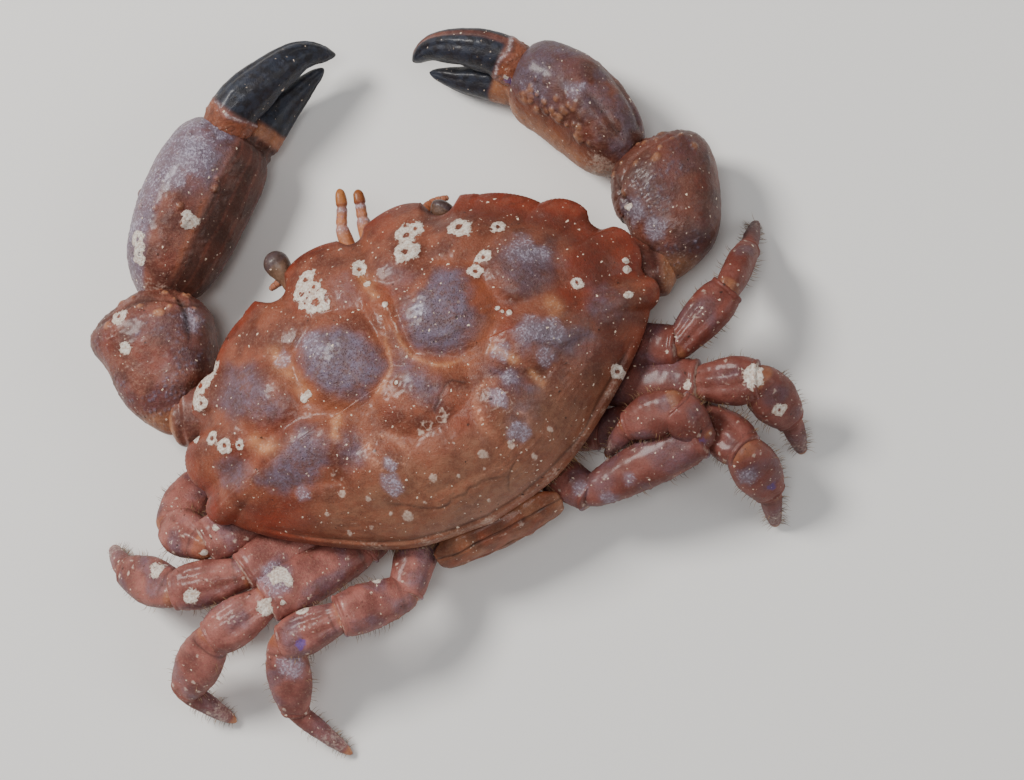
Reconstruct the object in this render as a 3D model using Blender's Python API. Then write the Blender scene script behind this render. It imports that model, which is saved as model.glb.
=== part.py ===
"""A montagus crab as a still model at life size.

Sizes are in millimetres until a mesh is made, which turns them into metres. The crab faces -Y, its
left side is +X, and it stands on the floor at Z = 0. Every piece is a closed solid of its own.
A piece that meets an earlier one is hollowed by that piece's shape, grown by a small gap.
"""

import math

import bmesh
import bpy
import numpy as np
from mathutils import Matrix, Vector

MM = 0.001
GAP = 0.3
GROWTH = 0.33
ROOT_SINK = 1.4
JOINT_OVERHANG = 0.5

# Carapace: half of its plain outline from the front's middle to the rear's middle
HALF_OUTLINE = ((0.0, -19.0), (6.8, -19.0), (12.4, -17.0), (18.3, -13.3), (22.7, -9.1),
                (24.5, -3.4), (24.0, 1.3), (18.2, 6.7), (8.8, 12.1), (0.0, 13.7))
CARAPACE_CENTRE = (0.0, -2.5)
CARAPACE_TOP = 18.3
EDGE_HEIGHT_FRONT = 11.6
EDGE_HEIGHT_SIDE = 11.2
EDGE_HEIGHT_REAR = 10.2
SHELL_FLOOR = 7.6
RIM_THICKNESS = 1.0
# Lobes and notches of the margin: place along the half outline, half width, reach outwards
MARGIN_FEATURES = {
    "front_notch": (0.0, 1.5, -0.8),
    "front_lobe": (4.3, 3.4, 0.5),
    "orbit": (9.9, 2.0, -1.8),
    "orbit_corner": (12.6, 1.3, 0.3),
    "lobe_1": (16.6, 3.7, 0.5),
    "lobe_2": (22.9, 2.7, 0.85),
    "lobe_notch": (26.4, 1.5, -0.6),
    "lobe_3": (30.1, 2.9, 1.2),
    "lobe_4": (35.6, 1.8, 0.9),
}
FEATURE_FADE = 9
LOBE_SWELL = 0.55
FRONT_SAMPLES = 33
FRONT_SPAN = 38.0
REAR_SAMPLES = 12
TOP_RINGS = (0.07, 0.14, 0.21, 0.28, 0.35, 0.42, 0.49, 0.56, 0.63, 0.7, 0.76, 0.82, 0.88, 0.93, 0.97,
             0.992, 1.0)
# Raised regions of the carapace: x, y, half length across, half length along, turn, height.
# Those off the middle line come in pairs.
REGIONS = (
    ("protogastric", 5.7, -6.5, 5.2, 5.2, 0.0, 1.2),
    ("frontal", 3.2, -14.2, 3.6, 3.0, 0.0, 0.65),
    ("hepatic", 10.6, -12.6, 4.0, 3.0, -20.0, 0.75),
    ("front_lateral", 14.6, -7.2, 4.6, 4.4, 20.0, 1.05),
    ("edge_lateral", 20.0, -5.6, 3.3, 3.7, 15.0, 0.85),
    ("gastric_tongue", 0.0, -7.4, 1.7, 5.6, 0.0, 0.6),
    ("gastric", 0.0, 0.3, 5.0, 3.9, 0.0, 0.8),
    ("side_wedge", 12.9, 0.4, 6.2, 3.6, -12.0, 0.9),
    ("edge_wedge", 20.2, 0.4, 3.2, 2.7, 0.0, 0.65),
    ("inner_branchial", 7.4, 5.4, 4.0, 3.3, -15.0, 0.8),
    ("cardiac", 0.0, 7.0, 4.6, 3.2, 0.0, 0.65),
    ("outer_branchial", 14.2, 5.2, 4.6, 2.8, -28.0, 0.55),
    ("intestinal", 0.0, 11.2, 5.6, 2.1, 0.0, 0.4),
)
REGION_SHOULDER = 1.2
REGION_BLEND = 4

# Thorax: height, half width, front, rear, squareness of each level
THORAX_LEVELS = (
    (7.9, 15.4, -16.2, 11.6, 2.6),
    (6.2, 14.2, -16.4, 12.2, 2.6),
    (4.6, 12.6, -15.9, 12.0, 2.6),
    (3.0, 11.6, -15.0, 11.2, 2.5),
    (2.1, 10.2, -13.6, 10.0, 2.4),
    (1.8, 7.4, -11.4, 7.6, 2.2),
    (1.9, 3.2, -8.0, 4.0, 2.0),
)
THORAX_CENTRE_Y = -1.5

# Abdomen, folded under: its middle line, half widths and half thickness
ABDOMEN_PATH = ((12.2, 9.0), (14.2, 8.4), (15.0, 6.6), (14.2, 4.2), (11.4, 2.3), (6.4, 1.9), (1.2, 1.85),
                (-3.6, 1.95))
ABDOMEN_HALF_WIDTHS = (6.6, 7.0, 6.6, 5.2, 4.2, 3.3, 2.7, 1.5)
ABDOMEN_HALF_THICKNESS = 0.65
SOMITES = 7

# Limbs. Each walking leg is placed by its joints: coxa's end, knee, ankle, foot joint, tip.
LEG_ROOTS = ((10.6, -0.8, 5.0), (10.8, 3.2, 5.0), (9.8, 7.0, 5.2), (7.0, 10.4, 6.2))
LEG_JOINTS = {
    ("left", 1): ((15.2, 0.6, 5.6), (27.4, 1.9, 8.6), (30.2, -1.7, 6.2),
                  (26.2, -5.9, 2.3), (21.6, -9.4, 0.45)),
    ("left", 2): ((15.0, 5.0, 5.8), (25.0, 6.6, 8.6), (32.4, 4.7, 8.0),
                  (36.9, -0.3, 4.0), (38.0, -4.0, 0.45)),
    ("left", 3): ((13.4, 9.4, 6.4), (24.0, 10.2, 9.4), (30.7, 11.0, 9.0),
                  (36.6, 13.6, 3.9), (33.8, 18.4, 0.45)),
    ("left", 4): ((11.2, 15.6, 7.6), (17.8, 15.1, 9.8), (24.3, 14.6, 8.8),
                  (27.2, 20.6, 3.4), (24.3, 26.8, 0.45)),
    ("right", 1): ((-15.2, 0.6, 5.6), (-24.4, 6.0, 9.0), (-31.3, 3.1, 8.8),
                   (-35.1, -0.5, 4.4), (-37.3, -3.6, 0.45)),
    ("right", 2): ((-15.0, 5.0, 5.8), (-24.6, 10.2, 8.6), (-29.9, 12.8, 10.0),
                   (-31.1, 17.0, 5.0), (-30.7, 20.0, 0.45)),
    ("right", 3): ((-13.4, 9.4, 6.0), (-23.6, 13.2, 6.8), (-25.6, 18.4, 9.2),
                   (-26.0, 22.6, 4.6), (-24.9, 25.4, 0.45)),
    ("right", 4): ((-9.8, 15.0, 7.8), (-22.4, 15.4, 10.2), (-21.6, 11.9, 12.2),
                   (-16.6, 11.2, 10.8), (-13.0, 12.4, 7.4)),
}
ARTICLES = ("coxa", "merus", "carpus", "propodus", "dactylus")
# Half widths and half heights along each article of a walking leg
ARTICLE_SECTIONS = {
    "coxa": ((2.3, 2.4, 2.2, 1.9), (2.1, 2.2, 2.0, 1.7)),
    "merus": ((1.5, 2.2, 2.6, 2.6, 2.2), (1.4, 1.8, 2.0, 2.0, 1.8)),
    "carpus": ((1.3, 1.9, 2.4, 2.4, 1.8), (1.2, 1.6, 1.9, 1.9, 1.5)),
    "propodus": ((1.3, 2.2, 2.5, 2.1, 1.4), (1.2, 1.5, 1.6, 1.5, 1.2)),
    "dactylus": ((0.95, 1.15, 1.0, 0.75, 0.45), (0.9, 1.0, 0.9, 0.68, 0.42)),
}
ARTICLE_SIDES = {"coxa": 8, "merus": 10, "carpus": 10, "propodus": 9, "dactylus": 8}
ARTICLE_RINGS = {"coxa": 4, "merus": 7, "carpus": 7, "propodus": 7, "dactylus": 6}
LEG_SIZE = {"left": (1.0, 1.0, 1.0, 0.92), "right": (0.9, 1.0, 1.0, 0.92)}
# This leg's last two articles stand on edge
EDGEWISE_LEG = ("right", 1)
CARPUS_FURROW = 0.45

# Chelipeds, placed by their joints
CLAWS = {
    "left": {
        "merus": ((11.5, -7.4, 5.6), (19.0, -9.8, 6.2), (25.3, -11.8, 6.8)),
        "carpus": ((25.6, -11.6, 6.6), (23.7, -18.1, 6.4), (22.0, -24.9, 6.0)),
        "palm": ((21.4, -24.4, 6.0), (13.8, -31.6, 5.7), (6.4, -36.9, 5.5)),
        "fixed_finger": ((9.0, -34.0, 4.2), (5.0, -35.6, 3.6), (0.8, -37.5, 3.2), (-4.4, -39.0, 3.5)),
        "finger": ((8.4, -36.3, 6.6), (5.0, -38.3, 7.9), (0.8, -39.5, 7.9), (-3.2, -40.2, 6.9),
                   (-6.2, -39.2, 5.0)),
        "finger_up": (0.48, -0.51, 0.71),
        "size": 1.0,
    },
    "right": {
        "merus": ((-11.5, -6.2, 5.6), (-20.2, -5.0, 6.0), (-27.4, -2.0, 6.6)),
        "carpus": ((-27.5, -2.2, 6.4), (-30.2, -8.2, 6.2), (-28.6, -14.6, 5.8)),
        "palm": ((-28.3, -14.6, 5.8), (-26.2, -22.3, 5.3), (-22.2, -28.4, 5.0)),
        "fixed_finger": ((-23.6, -26.0, 3.6), (-21.0, -28.2, 3.1), (-17.2, -30.8, 2.8), (-14.0, -33.4, 3.0)),
        "finger": ((-23.5, -27.3, 5.8), (-21.3, -30.6, 6.9), (-18.4, -33.1, 6.8), (-15.5, -34.7, 5.8),
                   (-13.1, -34.9, 4.2)),
        "finger_up": (-0.55, -0.23, 0.8),
        "size": 0.9,
    },
}
CLAW_MERUS = ((3.2, 3.7, 3.9, 3.2), (2.8, 3.3, 3.5, 3.0))
CLAW_CARPUS = ((2.6, 4.7, 5.7, 5.7, 4.2), (2.6, 4.3, 5.0, 5.0, 3.8))
CLAW_PALM = ((2.9, 3.9, 4.3, 4.1, 3.3), (3.2, 5.2, 5.9, 5.6, 4.4))
CLAW_FIXED = ((2.4, 2.2, 1.5, 0.5), (3.0, 2.5, 1.7, 0.5))
CLAW_FINGER = ((2.2, 2.3, 2.0, 1.4, 0.5), (2.4, 2.5, 2.1, 1.5, 0.5))
INNER_ANGLE_REACH = 1.3
FINGER_TEETH = 4
TOOTH_HEIGHT = 0.5

# Small pieces of the head. A path without a side is for the left one.
EYE_PATHS = {
    "left": ((7.6, -16.2, 10.6), (8.0, -19.0, 10.9), (8.4, -21.5, 11.1)),
    "right": ((-7.7, -16.0, 10.4), (-8.9, -17.0, 10.3), (-10.2, -17.9, 10.2)),
}
EYE_RADII = (0.8, 0.85, 1.3, 1.25)
MAXILLIPED_PATH = ((2.25, -8.2, 2.1), (2.3, -12.2, 2.3), (2.4, -16.0, 4.6))
MAXILLIPED_SECTION = ((1.7, 2.05, 2.05, 2.0, 1.8), (0.75, 0.8, 0.65, 0.8, 0.7))
ANTENNA_PATH = ((6.2, -16.2, 8.9), (7.2, -18.2, 8.6), (8.7, -19.1, 8.2), (10.4, -19.0, 7.8))
ANTENNA_RADII = (1.0, 0.85, 0.5, 0.3)
ANTENNULE_PATHS = {
    "left": ((1.0, -17.6, 9.4), (0.7, -20.6, 9.8), (-0.3, -22.6, 10.2), (-0.9, -24.4, 10.4)),
    "right": ((-1.0, -17.6, 9.4), (-1.6, -20.4, 9.8), (-2.1, -22.0, 10.1), (-2.5, -23.5, 10.2)),
}
ANTENNULE_RADII = (0.8, 0.75, 0.55, 0.6, 0.45)

COLOURS = {
    "shell": ((0.205, 0.062, 0.036), 0.42),
    "claw_shell": ((0.185, 0.06, 0.045), 0.42),
    "leg_shell": ((0.27, 0.08, 0.065), 0.4),
    "belly_shell": ((0.56, 0.36, 0.22), 0.5),
    "finger_horn": ((0.014, 0.014, 0.024), 0.22),
    "eye": ((0.09, 0.1, 0.11), 0.15),
    "feeler": ((0.5, 0.2, 0.1), 0.4),
}

made = {}


def spline(points, t):
    """The place at t, from 0 to 1, on the smooth curve through the points."""
    points = np.asarray(points, float)
    spans = len(points) - 1
    i = min(int(t * spans), spans - 1)
    f = t * spans - i
    b = points[i]
    c = points[i + 1]
    a = points[i - 1] if i else 2 * b - c
    d = points[i + 2] if i + 2 <= spans else 2 * c - b
    bend = 2 * a - 5 * b + 4 * c - d
    twist = 3 * b - a - 3 * c + d
    return 0.5 * (2 * b + (c - a) * f + bend * f * f + twist * f ** 3)


def unit(vector):
    return np.asarray(vector, float) / np.linalg.norm(vector)


def skin_rings(rings, start, end):
    """Faces over rings of points, closed by a point at each end. Returns points and faces."""
    sides = len(rings[0])
    points = np.vstack([[start], *rings, [end]])
    faces = []
    for k in range(sides):
        after = (k + 1) % sides
        faces.append((0, 1 + after, 1 + k))
        last = 1 + (len(rings) - 1) * sides
        faces.append((len(points) - 1, last + k, last + after))
        for r in range(len(rings) - 1):
            low = 1 + r * sides
            high = low + sides
            faces.append((low + k, low + after, high + after, high + k))
    return points, faces


def end_rounding(t, share):
    """Factor on the section, 0 at the ends of a piece and 1 away from them."""
    near = min(t, 1 - t) / share
    return math.sqrt(max(0.0, 1 - max(0.0, 1 - near) ** 2))


def tube(path, widths, heights, up=None, side=None, sides=10, rings=8, squareness=2.3, share=0.16,
         relief=None):
    """A closed, tapering piece round a path. Its section has the half widths across and the half
    heights along up. relief(t, angle) adds to the section, in millimetres."""
    path = np.asarray(path, float)
    edge = share * 0.25
    inner = np.linspace(edge + share * 0.3, 1 - edge - share * 0.3, rings - 2)
    steps = [edge, *inner, 1 - edge]
    loops = []
    for t in steps:
        centre = spline(path, t)
        along = unit(spline(path, min(t + 0.02, 1)) - spline(path, max(t - 0.02, 0)))
        across = unit(side if side is not None else np.cross(along, up))
        across = unit(across - along * np.dot(across, along))
        upward = np.cross(across, along)
        rounding = end_rounding(t, share)
        half_width = float(spline(np.array(widths)[:, None], t)[0]) * rounding
        half_height = float(spline(np.array(heights)[:, None], t)[0]) * rounding
        loop = []
        for k in range(sides):
            angle = 2 * math.pi * k / sides
            c = math.cos(angle)
            s = math.sin(angle)
            x = math.copysign(abs(c) ** (2 / squareness), c)
            y = math.copysign(abs(s) ** (2 / squareness), s)
            extra = relief(t, angle) * rounding if relief else 0.0
            out = across * (x * half_width + c * extra) + upward * (y * half_height + s * extra)
            loop.append(centre + out)
        loops.append(loop)
    return skin_rings(loops, path[0], path[-1])


def lift_to_floor(points):
    """Whatever would pass through the floor is laid flat on it."""
    points = points.copy()
    points[:, 2] = np.maximum(points[:, 2], 0.0)
    return points


def mirrored(shape, name):
    points, faces = shape
    if not name.endswith("right"):
        return shape
    return points * (-1, 1, 1), [tuple(reversed(face)) for face in faces]


def material(name):
    found = bpy.data.materials.get(name)
    if found:
        return found
    colour, roughness = COLOURS[name]
    fresh = bpy.data.materials.new(name)
    fresh.use_nodes = True
    shader = fresh.node_tree.nodes["Principled BSDF"]
    shader.inputs["Base Color"].default_value = (*colour, 1)
    shader.inputs["Roughness"].default_value = roughness
    shader.inputs["Metallic"].default_value = 0
    return fresh


def facing_out(points, faces):
    """Faces turned so that they point out of the solid."""
    volume = 0.0
    for face in faces:
        for k in range(1, len(face) - 1):
            volume += np.dot(points[face[0]], np.cross(points[face[k]], points[face[k + 1]]))
    return faces if volume > 0 else [tuple(reversed(face)) for face in faces]


def mesh_object(name, points, faces):
    mesh = bpy.data.meshes.new(name)
    mesh.from_pydata([tuple(p * MM) for p in points], [], faces)
    mesh.update()
    obj = bpy.data.objects.new(name, mesh)
    bpy.context.scene.collection.objects.link(obj)
    return obj


def grown(points, faces, by):
    """The points moved outwards along their normals."""
    normals = np.zeros_like(points)
    for face in faces:
        corners = points[list(face)]
        area = np.zeros(3)
        for k in range(1, len(face) - 1):
            area += np.cross(corners[k] - corners[0], corners[k + 1] - corners[0])
        for index in face:
            normals[index] += area
    lengths = np.linalg.norm(normals, axis=1, keepdims=True)
    return points + normals / np.maximum(lengths, 1e-9) * by


def near(one, other):
    """Whether two sets of points have boxes that meet, with the gap."""
    return bool(np.all(one.min(0) < other.max(0) + GAP) and np.all(other.min(0) < one.max(0) + GAP))


def evaluated(obj):
    graph = bpy.context.evaluated_depsgraph_get()
    mesh = bpy.data.meshes.new_from_object(obj.evaluated_get(graph))
    obj.modifiers.clear()
    old = obj.data
    obj.data = mesh
    bpy.data.meshes.remove(old)


def boolean(obj, other, operation):
    modifier = obj.modifiers.new(operation.lower(), "BOOLEAN")
    modifier.operation = operation
    modifier.solver = "EXACT"
    modifier.object = other
    other.hide_render = True
    other.display_type = "WIRE"
    evaluated(obj)
    bpy.data.objects.remove(other)


def keep_largest(obj):
    """Leaves only the largest closed surface of the mesh."""
    shape = bmesh.new()
    shape.from_mesh(obj.data)
    left = set(shape.verts)
    bodies = []
    while left:
        front = [left.pop()]
        body = set(front)
        while front:
            for edge in front.pop().link_edges:
                for vert in edge.verts:
                    if vert in left:
                        left.discard(vert)
                        body.add(vert)
                        front.append(vert)
        bodies.append(body)
    bodies.sort(key=len)
    bmesh.ops.delete(shape, geom=[vert for body in bodies[:-1] for vert in body], context="VERTS")
    bmesh.ops.triangulate(shape, faces=shape.faces[:])
    shape.to_mesh(obj.data)
    shape.free()


def set_origin(obj, place):
    """Puts the object's origin at its root, without moving the piece."""
    place = Vector(place) * MM
    obj.data.transform(Matrix.Translation(-place))
    obj.location = place


def add_piece(name, shape, finish, joined=()):
    """Makes a piece: its own shapes are fused, then it is hollowed where earlier pieces reach."""
    points, faces = shape
    points = lift_to_floor(points)
    faces = facing_out(points, faces)
    obj = mesh_object(name, points, faces)
    forms = [(points, faces)]
    for extra_points, extra_faces in joined:
        extra_points = lift_to_floor(extra_points)
        extra_faces = facing_out(extra_points, extra_faces)
        forms.append((extra_points, extra_faces))
        boolean(obj, mesh_object("joined", extra_points, extra_faces), "UNION")
    reach = np.vstack([form[0] for form in forms])
    for earlier_forms in made.values():
        for other_points, other_faces in earlier_forms:
            if near(reach, other_points):
                cutter = mesh_object("cutter", grown(other_points, other_faces, GROWTH), other_faces)
                boolean(obj, cutter, "DIFFERENCE")
    keep_largest(obj)
    set_origin(obj, points[0])
    made[name] = forms
    obj.data.materials.clear()
    obj.data.materials.append(material(finish))
    obj.data.shade_smooth()
    obj.data.set_sharp_from_angle(angle=math.radians(50))
    return obj


def outline_table():
    """Places, outward directions and arc lengths along the plain half outline of the carapace."""
    steps = np.linspace(0, 1, 600)
    places = np.array([spline(HALF_OUTLINE, t) for t in steps])
    lengths = np.concatenate([[0], np.cumsum(np.linalg.norm(np.diff(places, axis=0), axis=1))])
    tangents = np.gradient(places, axis=0)
    outward = np.column_stack([tangents[:, 1], -tangents[:, 0]])
    outward /= np.linalg.norm(outward, axis=1, keepdims=True)
    return places, outward, lengths


def margin_reach(along):
    """How far the lobes and notches move the margin outwards."""
    reach = 0.0
    for place, half_width, height in MARGIN_FEATURES.values():
        off = abs(along - place) / half_width
        if off < 1:
            reach += height * (1 - off ** 2.2)
    return reach


def region_height(x, y):
    """Height of the raised regions at a place of the carapace."""
    total = 0.0
    for _, cx, cy, across, length, turn, height in REGIONS:
        a = math.radians(turn)
        dx = abs(x) - cx
        dy = y - cy
        u = (dx * math.cos(a) + dy * math.sin(a)) / across
        v = (-dx * math.sin(a) + dy * math.cos(a)) / length
        off = u * u + v * v
        if off < 1:
            total += (height * (1 - off) ** REGION_SHOULDER) ** REGION_BLEND
    return total ** (1 / REGION_BLEND)


def edge_height(y):
    """Height of the carapace's margin, from its place along Y."""
    if y < -9:
        share = min(1.0, (-9 - y) / 8)
        return EDGE_HEIGHT_SIDE + (EDGE_HEIGHT_FRONT - EDGE_HEIGHT_SIDE) * share
    share = min(1.0, max(0.0, y / 12))
    return EDGE_HEIGHT_SIDE + (EDGE_HEIGHT_REAR - EDGE_HEIGHT_SIDE) * share


def carapace_shape():
    places, outward, lengths = outline_table()
    total = lengths[-1]
    samples = list(np.linspace(0, FRONT_SPAN, FRONT_SAMPLES))
    samples += list(np.linspace(FRONT_SPAN, total, REAR_SAMPLES + 1)[1:])
    half = []
    for along in samples:
        place = np.array([np.interp(along, lengths, places[:, k]) for k in (0, 1)])
        out = np.array([np.interp(along, lengths, outward[:, k]) for k in (0, 1)])
        half.append((place, out * margin_reach(along), along))
    whole = half + [(p * (-1, 1), d * (-1, 1), s) for p, d, s in half[-2:0:-1]]
    centre = np.array(CARAPACE_CENTRE)

    def place_at(entry, share):
        base, shift, _ = entry
        return centre + (base - centre) * share + shift * share ** FEATURE_FADE

    loops = []
    for share in TOP_RINGS:
        loop = []
        for entry in whole:
            x, y = place_at(entry, share)
            edge = edge_height(entry[0][1])
            power = 2.6 if entry[0][1] < 0 else 3.1
            crown = max(0.0, 1 - share ** power) ** 0.8
            height = edge + (CARAPACE_TOP - edge) * crown + region_height(x, y) * (1 - share ** 10)
            rim_swell = math.sin(math.pi * min(1.0, max(0.0, (share - 0.78) / 0.3))) ** 2
            height += LOBE_SWELL * max(0.0, margin_reach(entry[2])) * rim_swell
            loop.append((x, y, height))
        loops.append(loop)
    for share, drop in ((0.985, 0.45), (0.95, 1.0), (0.86, None), (0.74, 0.0), (0.4, 0.0)):
        loop = []
        for entry in whole:
            x, y = place_at(entry, share)
            edge = edge_height(entry[0][1])
            if drop is None:
                height = (SHELL_FLOOR + edge - RIM_THICKNESS) / 2
            elif drop:
                height = edge - RIM_THICKNESS * drop
            else:
                height = SHELL_FLOOR
            loop.append((x, y, height))
        loops.append(loop)
    top = (*CARAPACE_CENTRE, CARAPACE_TOP + region_height(*CARAPACE_CENTRE))
    return skin_rings(loops, top, (*CARAPACE_CENTRE, SHELL_FLOOR))


def thorax_shape():
    """The chest with the breastplate below and the mouth's frame in front."""
    around = 44
    loops = []
    for height, half_width, front, rear, squareness in THORAX_LEVELS:
        loop = []
        for k in range(around):
            angle = 2 * math.pi * k / around
            c = math.cos(angle)
            s = math.sin(angle)
            x = half_width * math.copysign(abs(c) ** (2 / squareness), c)
            length = (rear - THORAX_CENTRE_Y) if s > 0 else (THORAX_CENTRE_Y - front)
            y = THORAX_CENTRE_Y + length * math.copysign(abs(s) ** (2 / squareness), s)
            loop.append((x, y, height))
        loops.append(loop)
    last = THORAX_LEVELS[-1][0]
    first = THORAX_LEVELS[0][0]
    return skin_rings(loops, (0, THORAX_CENTRE_Y, first), (0, THORAX_CENTRE_Y, last))


def abdomen_shape():
    path = [(0, y, z) for y, z in ABDOMEN_PATH]

    def somite_groove(t, angle):
        place = abs((t * SOMITES) % 1 - 0.5)
        return -0.22 * max(0.0, place - 0.3) / 0.2 * abs(math.sin(angle))

    thickness = (ABDOMEN_HALF_THICKNESS,) * 4
    return tube(path, ABDOMEN_HALF_WIDTHS, thickness, side=(1, 0, 0), sides=10, rings=2 * SOMITES + 3,
                squareness=3.2, share=0.05, relief=somite_groove)


def extended(path, before, after):
    """The path with its ends moved outwards along itself."""
    path = [np.asarray(p, float) for p in path]
    first = path[0] + unit(path[0] - path[1]) * before
    last = path[-1] + unit(path[-1] - path[-2]) * after
    return [first, *path[1:-1], last]


def leg_article(start, end, article, size, edgewise):
    """One article of a walking leg, rooted a little inside the one before."""
    widths, heights = ARTICLE_SECTIONS[article]
    if edgewise:
        widths, heights = heights, widths
    start = np.asarray(start, float)
    end = np.asarray(end, float)
    middle = (start + end) / 2 + (0, 0, 0.3 if article == "dactylus" else 0.15)
    tip = article == "dactylus"
    path = extended([start, middle, end], ROOT_SINK, 0.0 if tip else JOINT_OVERHANG)

    def furrow(t, angle):
        off = (angle - math.pi / 2) / 0.5
        return -CARPUS_FURROW * math.exp(-off * off) * math.sin(math.pi * t)

    return tube(path, [w * size for w in widths], [h * size for h in heights], up=(0, 0, 1),
                sides=ARTICLE_SIDES[article], rings=ARTICLE_RINGS[article],
                relief=furrow if article == "carpus" else None)


def add_leg(side, pair):
    sign = 1 if side == "left" else -1
    root = np.array(LEG_ROOTS[pair - 1]) * (sign, 1, 1)
    joints = [root, *LEG_JOINTS[side, pair]]
    for k, article in enumerate(ARTICLES):
        edgewise = (side, pair) == EDGEWISE_LEG and k > 2
        shape = leg_article(joints[k], joints[k + 1], article, LEG_SIZE[side][pair - 1], edgewise)
        add_piece(f"leg_{pair}_{side}_{article}", shape, "leg_shell")


def gripping_teeth(inner_side):
    """Blunt teeth along the side of a finger that grips."""
    def relief(t, angle):
        facing = max(0.0, inner_side * math.sin(angle)) ** 3
        return TOOTH_HEIGHT * facing * abs(math.sin(math.pi * FINGER_TEETH * t)) * (1 - t) * min(1.0, 4 * t)
    return relief


def add_claw(side):
    claw = CLAWS[side]
    size = claw["size"]
    sign = 1 if side == "left" else -1

    def scaled(values):
        return [value * size for value in values]

    def inner_angle(t, angle):
        toward = max(0.0, -sign * math.cos(angle)) ** 2
        return INNER_ANGLE_REACH * toward * math.exp(-((t - 0.68) / 0.14) ** 2)

    widths, heights = CLAW_MERUS
    merus = tube(extended(claw["merus"], 0, 0.6), scaled(widths), scaled(heights), up=(0, 0, 1), sides=12,
                 rings=9)
    add_piece(f"claw_{side}_merus", merus, "claw_shell")
    widths, heights = CLAW_CARPUS
    carpus = tube(extended(claw["carpus"], ROOT_SINK, 0.6), scaled(widths), scaled(heights), up=(0, 0, 1),
                  sides=18, rings=12, share=0.3, relief=inner_angle)
    add_piece(f"claw_{side}_carpus", carpus, "claw_shell")
    widths, heights = CLAW_FINGER
    finger = tube(claw["finger"], scaled(widths), scaled(heights), up=claw["finger_up"], sides=12, rings=14,
                  share=0.1, relief=gripping_teeth(-1))
    add_piece(f"claw_{side}_finger", finger, "finger_horn")
    widths, heights = CLAW_PALM
    palm = tube(extended(claw["palm"], ROOT_SINK, 0.6), scaled(widths), scaled(heights),
                up=claw["finger_up"], sides=18, rings=11, share=0.2, squareness=2.4)
    widths, heights = CLAW_FIXED
    fixed = tube(claw["fixed_finger"], scaled(widths), scaled(heights), up=claw["finger_up"], sides=12,
                 rings=12, share=0.08, relief=gripping_teeth(1))
    add_piece(f"claw_{side}_palm", palm, "claw_shell", joined=[fixed])


def add_head_piece(name, path, widths, heights, finish, **options):
    shape = tube(path, widths, heights, **options)
    add_piece(name, mirrored(shape, name), finish)


def main():
    for obj in list(bpy.data.objects):
        bpy.data.objects.remove(obj)
    for side in ("left", "right"):
        add_piece(f"eye_{side}", tube(EYE_PATHS[side], EYE_RADII, EYE_RADII, up=(0, 0, 1), sides=12,
                                      rings=8, share=0.25), "eye")
        add_head_piece(f"maxilliped_{side}", MAXILLIPED_PATH, *MAXILLIPED_SECTION, "belly_shell",
                       side=(1, 0, 0), sides=10, rings=9, squareness=3.6, share=0.08)
    add_piece("carapace", carapace_shape(), "shell")
    add_piece("abdomen", abdomen_shape(), "belly_shell")
    add_piece("thorax", thorax_shape(), "belly_shell")
    for side in ("left", "right"):
        add_head_piece(f"antenna_{side}", ANTENNA_PATH, ANTENNA_RADII, ANTENNA_RADII, "feeler",
                       up=(0, 0, 1), sides=8, rings=9, share=0.06)
        add_piece(f"antennule_{side}", tube(ANTENNULE_PATHS[side], ANTENNULE_RADII, ANTENNULE_RADII,
                                            up=(0, 0, 1), sides=8, rings=8, share=0.12), "feeler")
    for side in ("left", "right"):
        add_claw(side)
    for pair in (4, 3, 2, 1):
        for side in ("left", "right"):
            add_leg(side, pair)
    crab = bpy.data.objects.new("crab", None)
    bpy.context.scene.collection.objects.link(crab)
    corners = []
    for name in made:
        obj = bpy.data.objects[name]
        corners += [obj.location + vert.co for vert in obj.data.vertices]
        obj.parent = crab
    corners = np.array(corners)
    middle = (corners.min(0) + corners.max(0)) / 2
    crab.location = (-middle[0], -middle[1], -corners[:, 2].min())


main()
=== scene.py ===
"""A Montagu's crab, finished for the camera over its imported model.

Lengths in the tables below are millimetres in the crab's own frame: it faces -Y, its left side is +X,
and the floor is Z = 0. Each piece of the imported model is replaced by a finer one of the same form.
"""

import math

import bpy
import numpy as np
from bpy.props import BoolProperty, FloatProperty, FloatVectorProperty, IntProperty, PointerProperty
from mathutils import Matrix, Vector


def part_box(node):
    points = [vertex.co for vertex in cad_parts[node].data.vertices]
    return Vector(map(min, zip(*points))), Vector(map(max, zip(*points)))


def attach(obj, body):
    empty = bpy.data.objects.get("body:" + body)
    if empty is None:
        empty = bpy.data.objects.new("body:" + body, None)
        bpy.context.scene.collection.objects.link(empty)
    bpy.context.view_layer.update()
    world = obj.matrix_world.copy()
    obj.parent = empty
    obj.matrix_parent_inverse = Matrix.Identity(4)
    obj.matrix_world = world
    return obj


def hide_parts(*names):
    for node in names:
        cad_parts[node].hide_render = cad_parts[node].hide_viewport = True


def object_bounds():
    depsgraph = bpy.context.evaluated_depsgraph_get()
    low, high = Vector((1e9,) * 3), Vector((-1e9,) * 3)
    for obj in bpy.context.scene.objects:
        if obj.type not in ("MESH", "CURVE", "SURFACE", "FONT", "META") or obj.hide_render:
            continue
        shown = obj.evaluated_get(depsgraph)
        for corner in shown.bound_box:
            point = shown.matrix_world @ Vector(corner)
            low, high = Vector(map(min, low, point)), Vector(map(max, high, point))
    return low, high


bl_info = {
    "name": "Montagu's crab",
    "version": (1, 0, 0),
    "blender": (4, 5, 0),
    "location": "3D View > Sidebar > Crab",
    "description": "Builds the fine shell, claws, legs and hairs of a crab over its packed model",
    "category": "Object",
}

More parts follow.
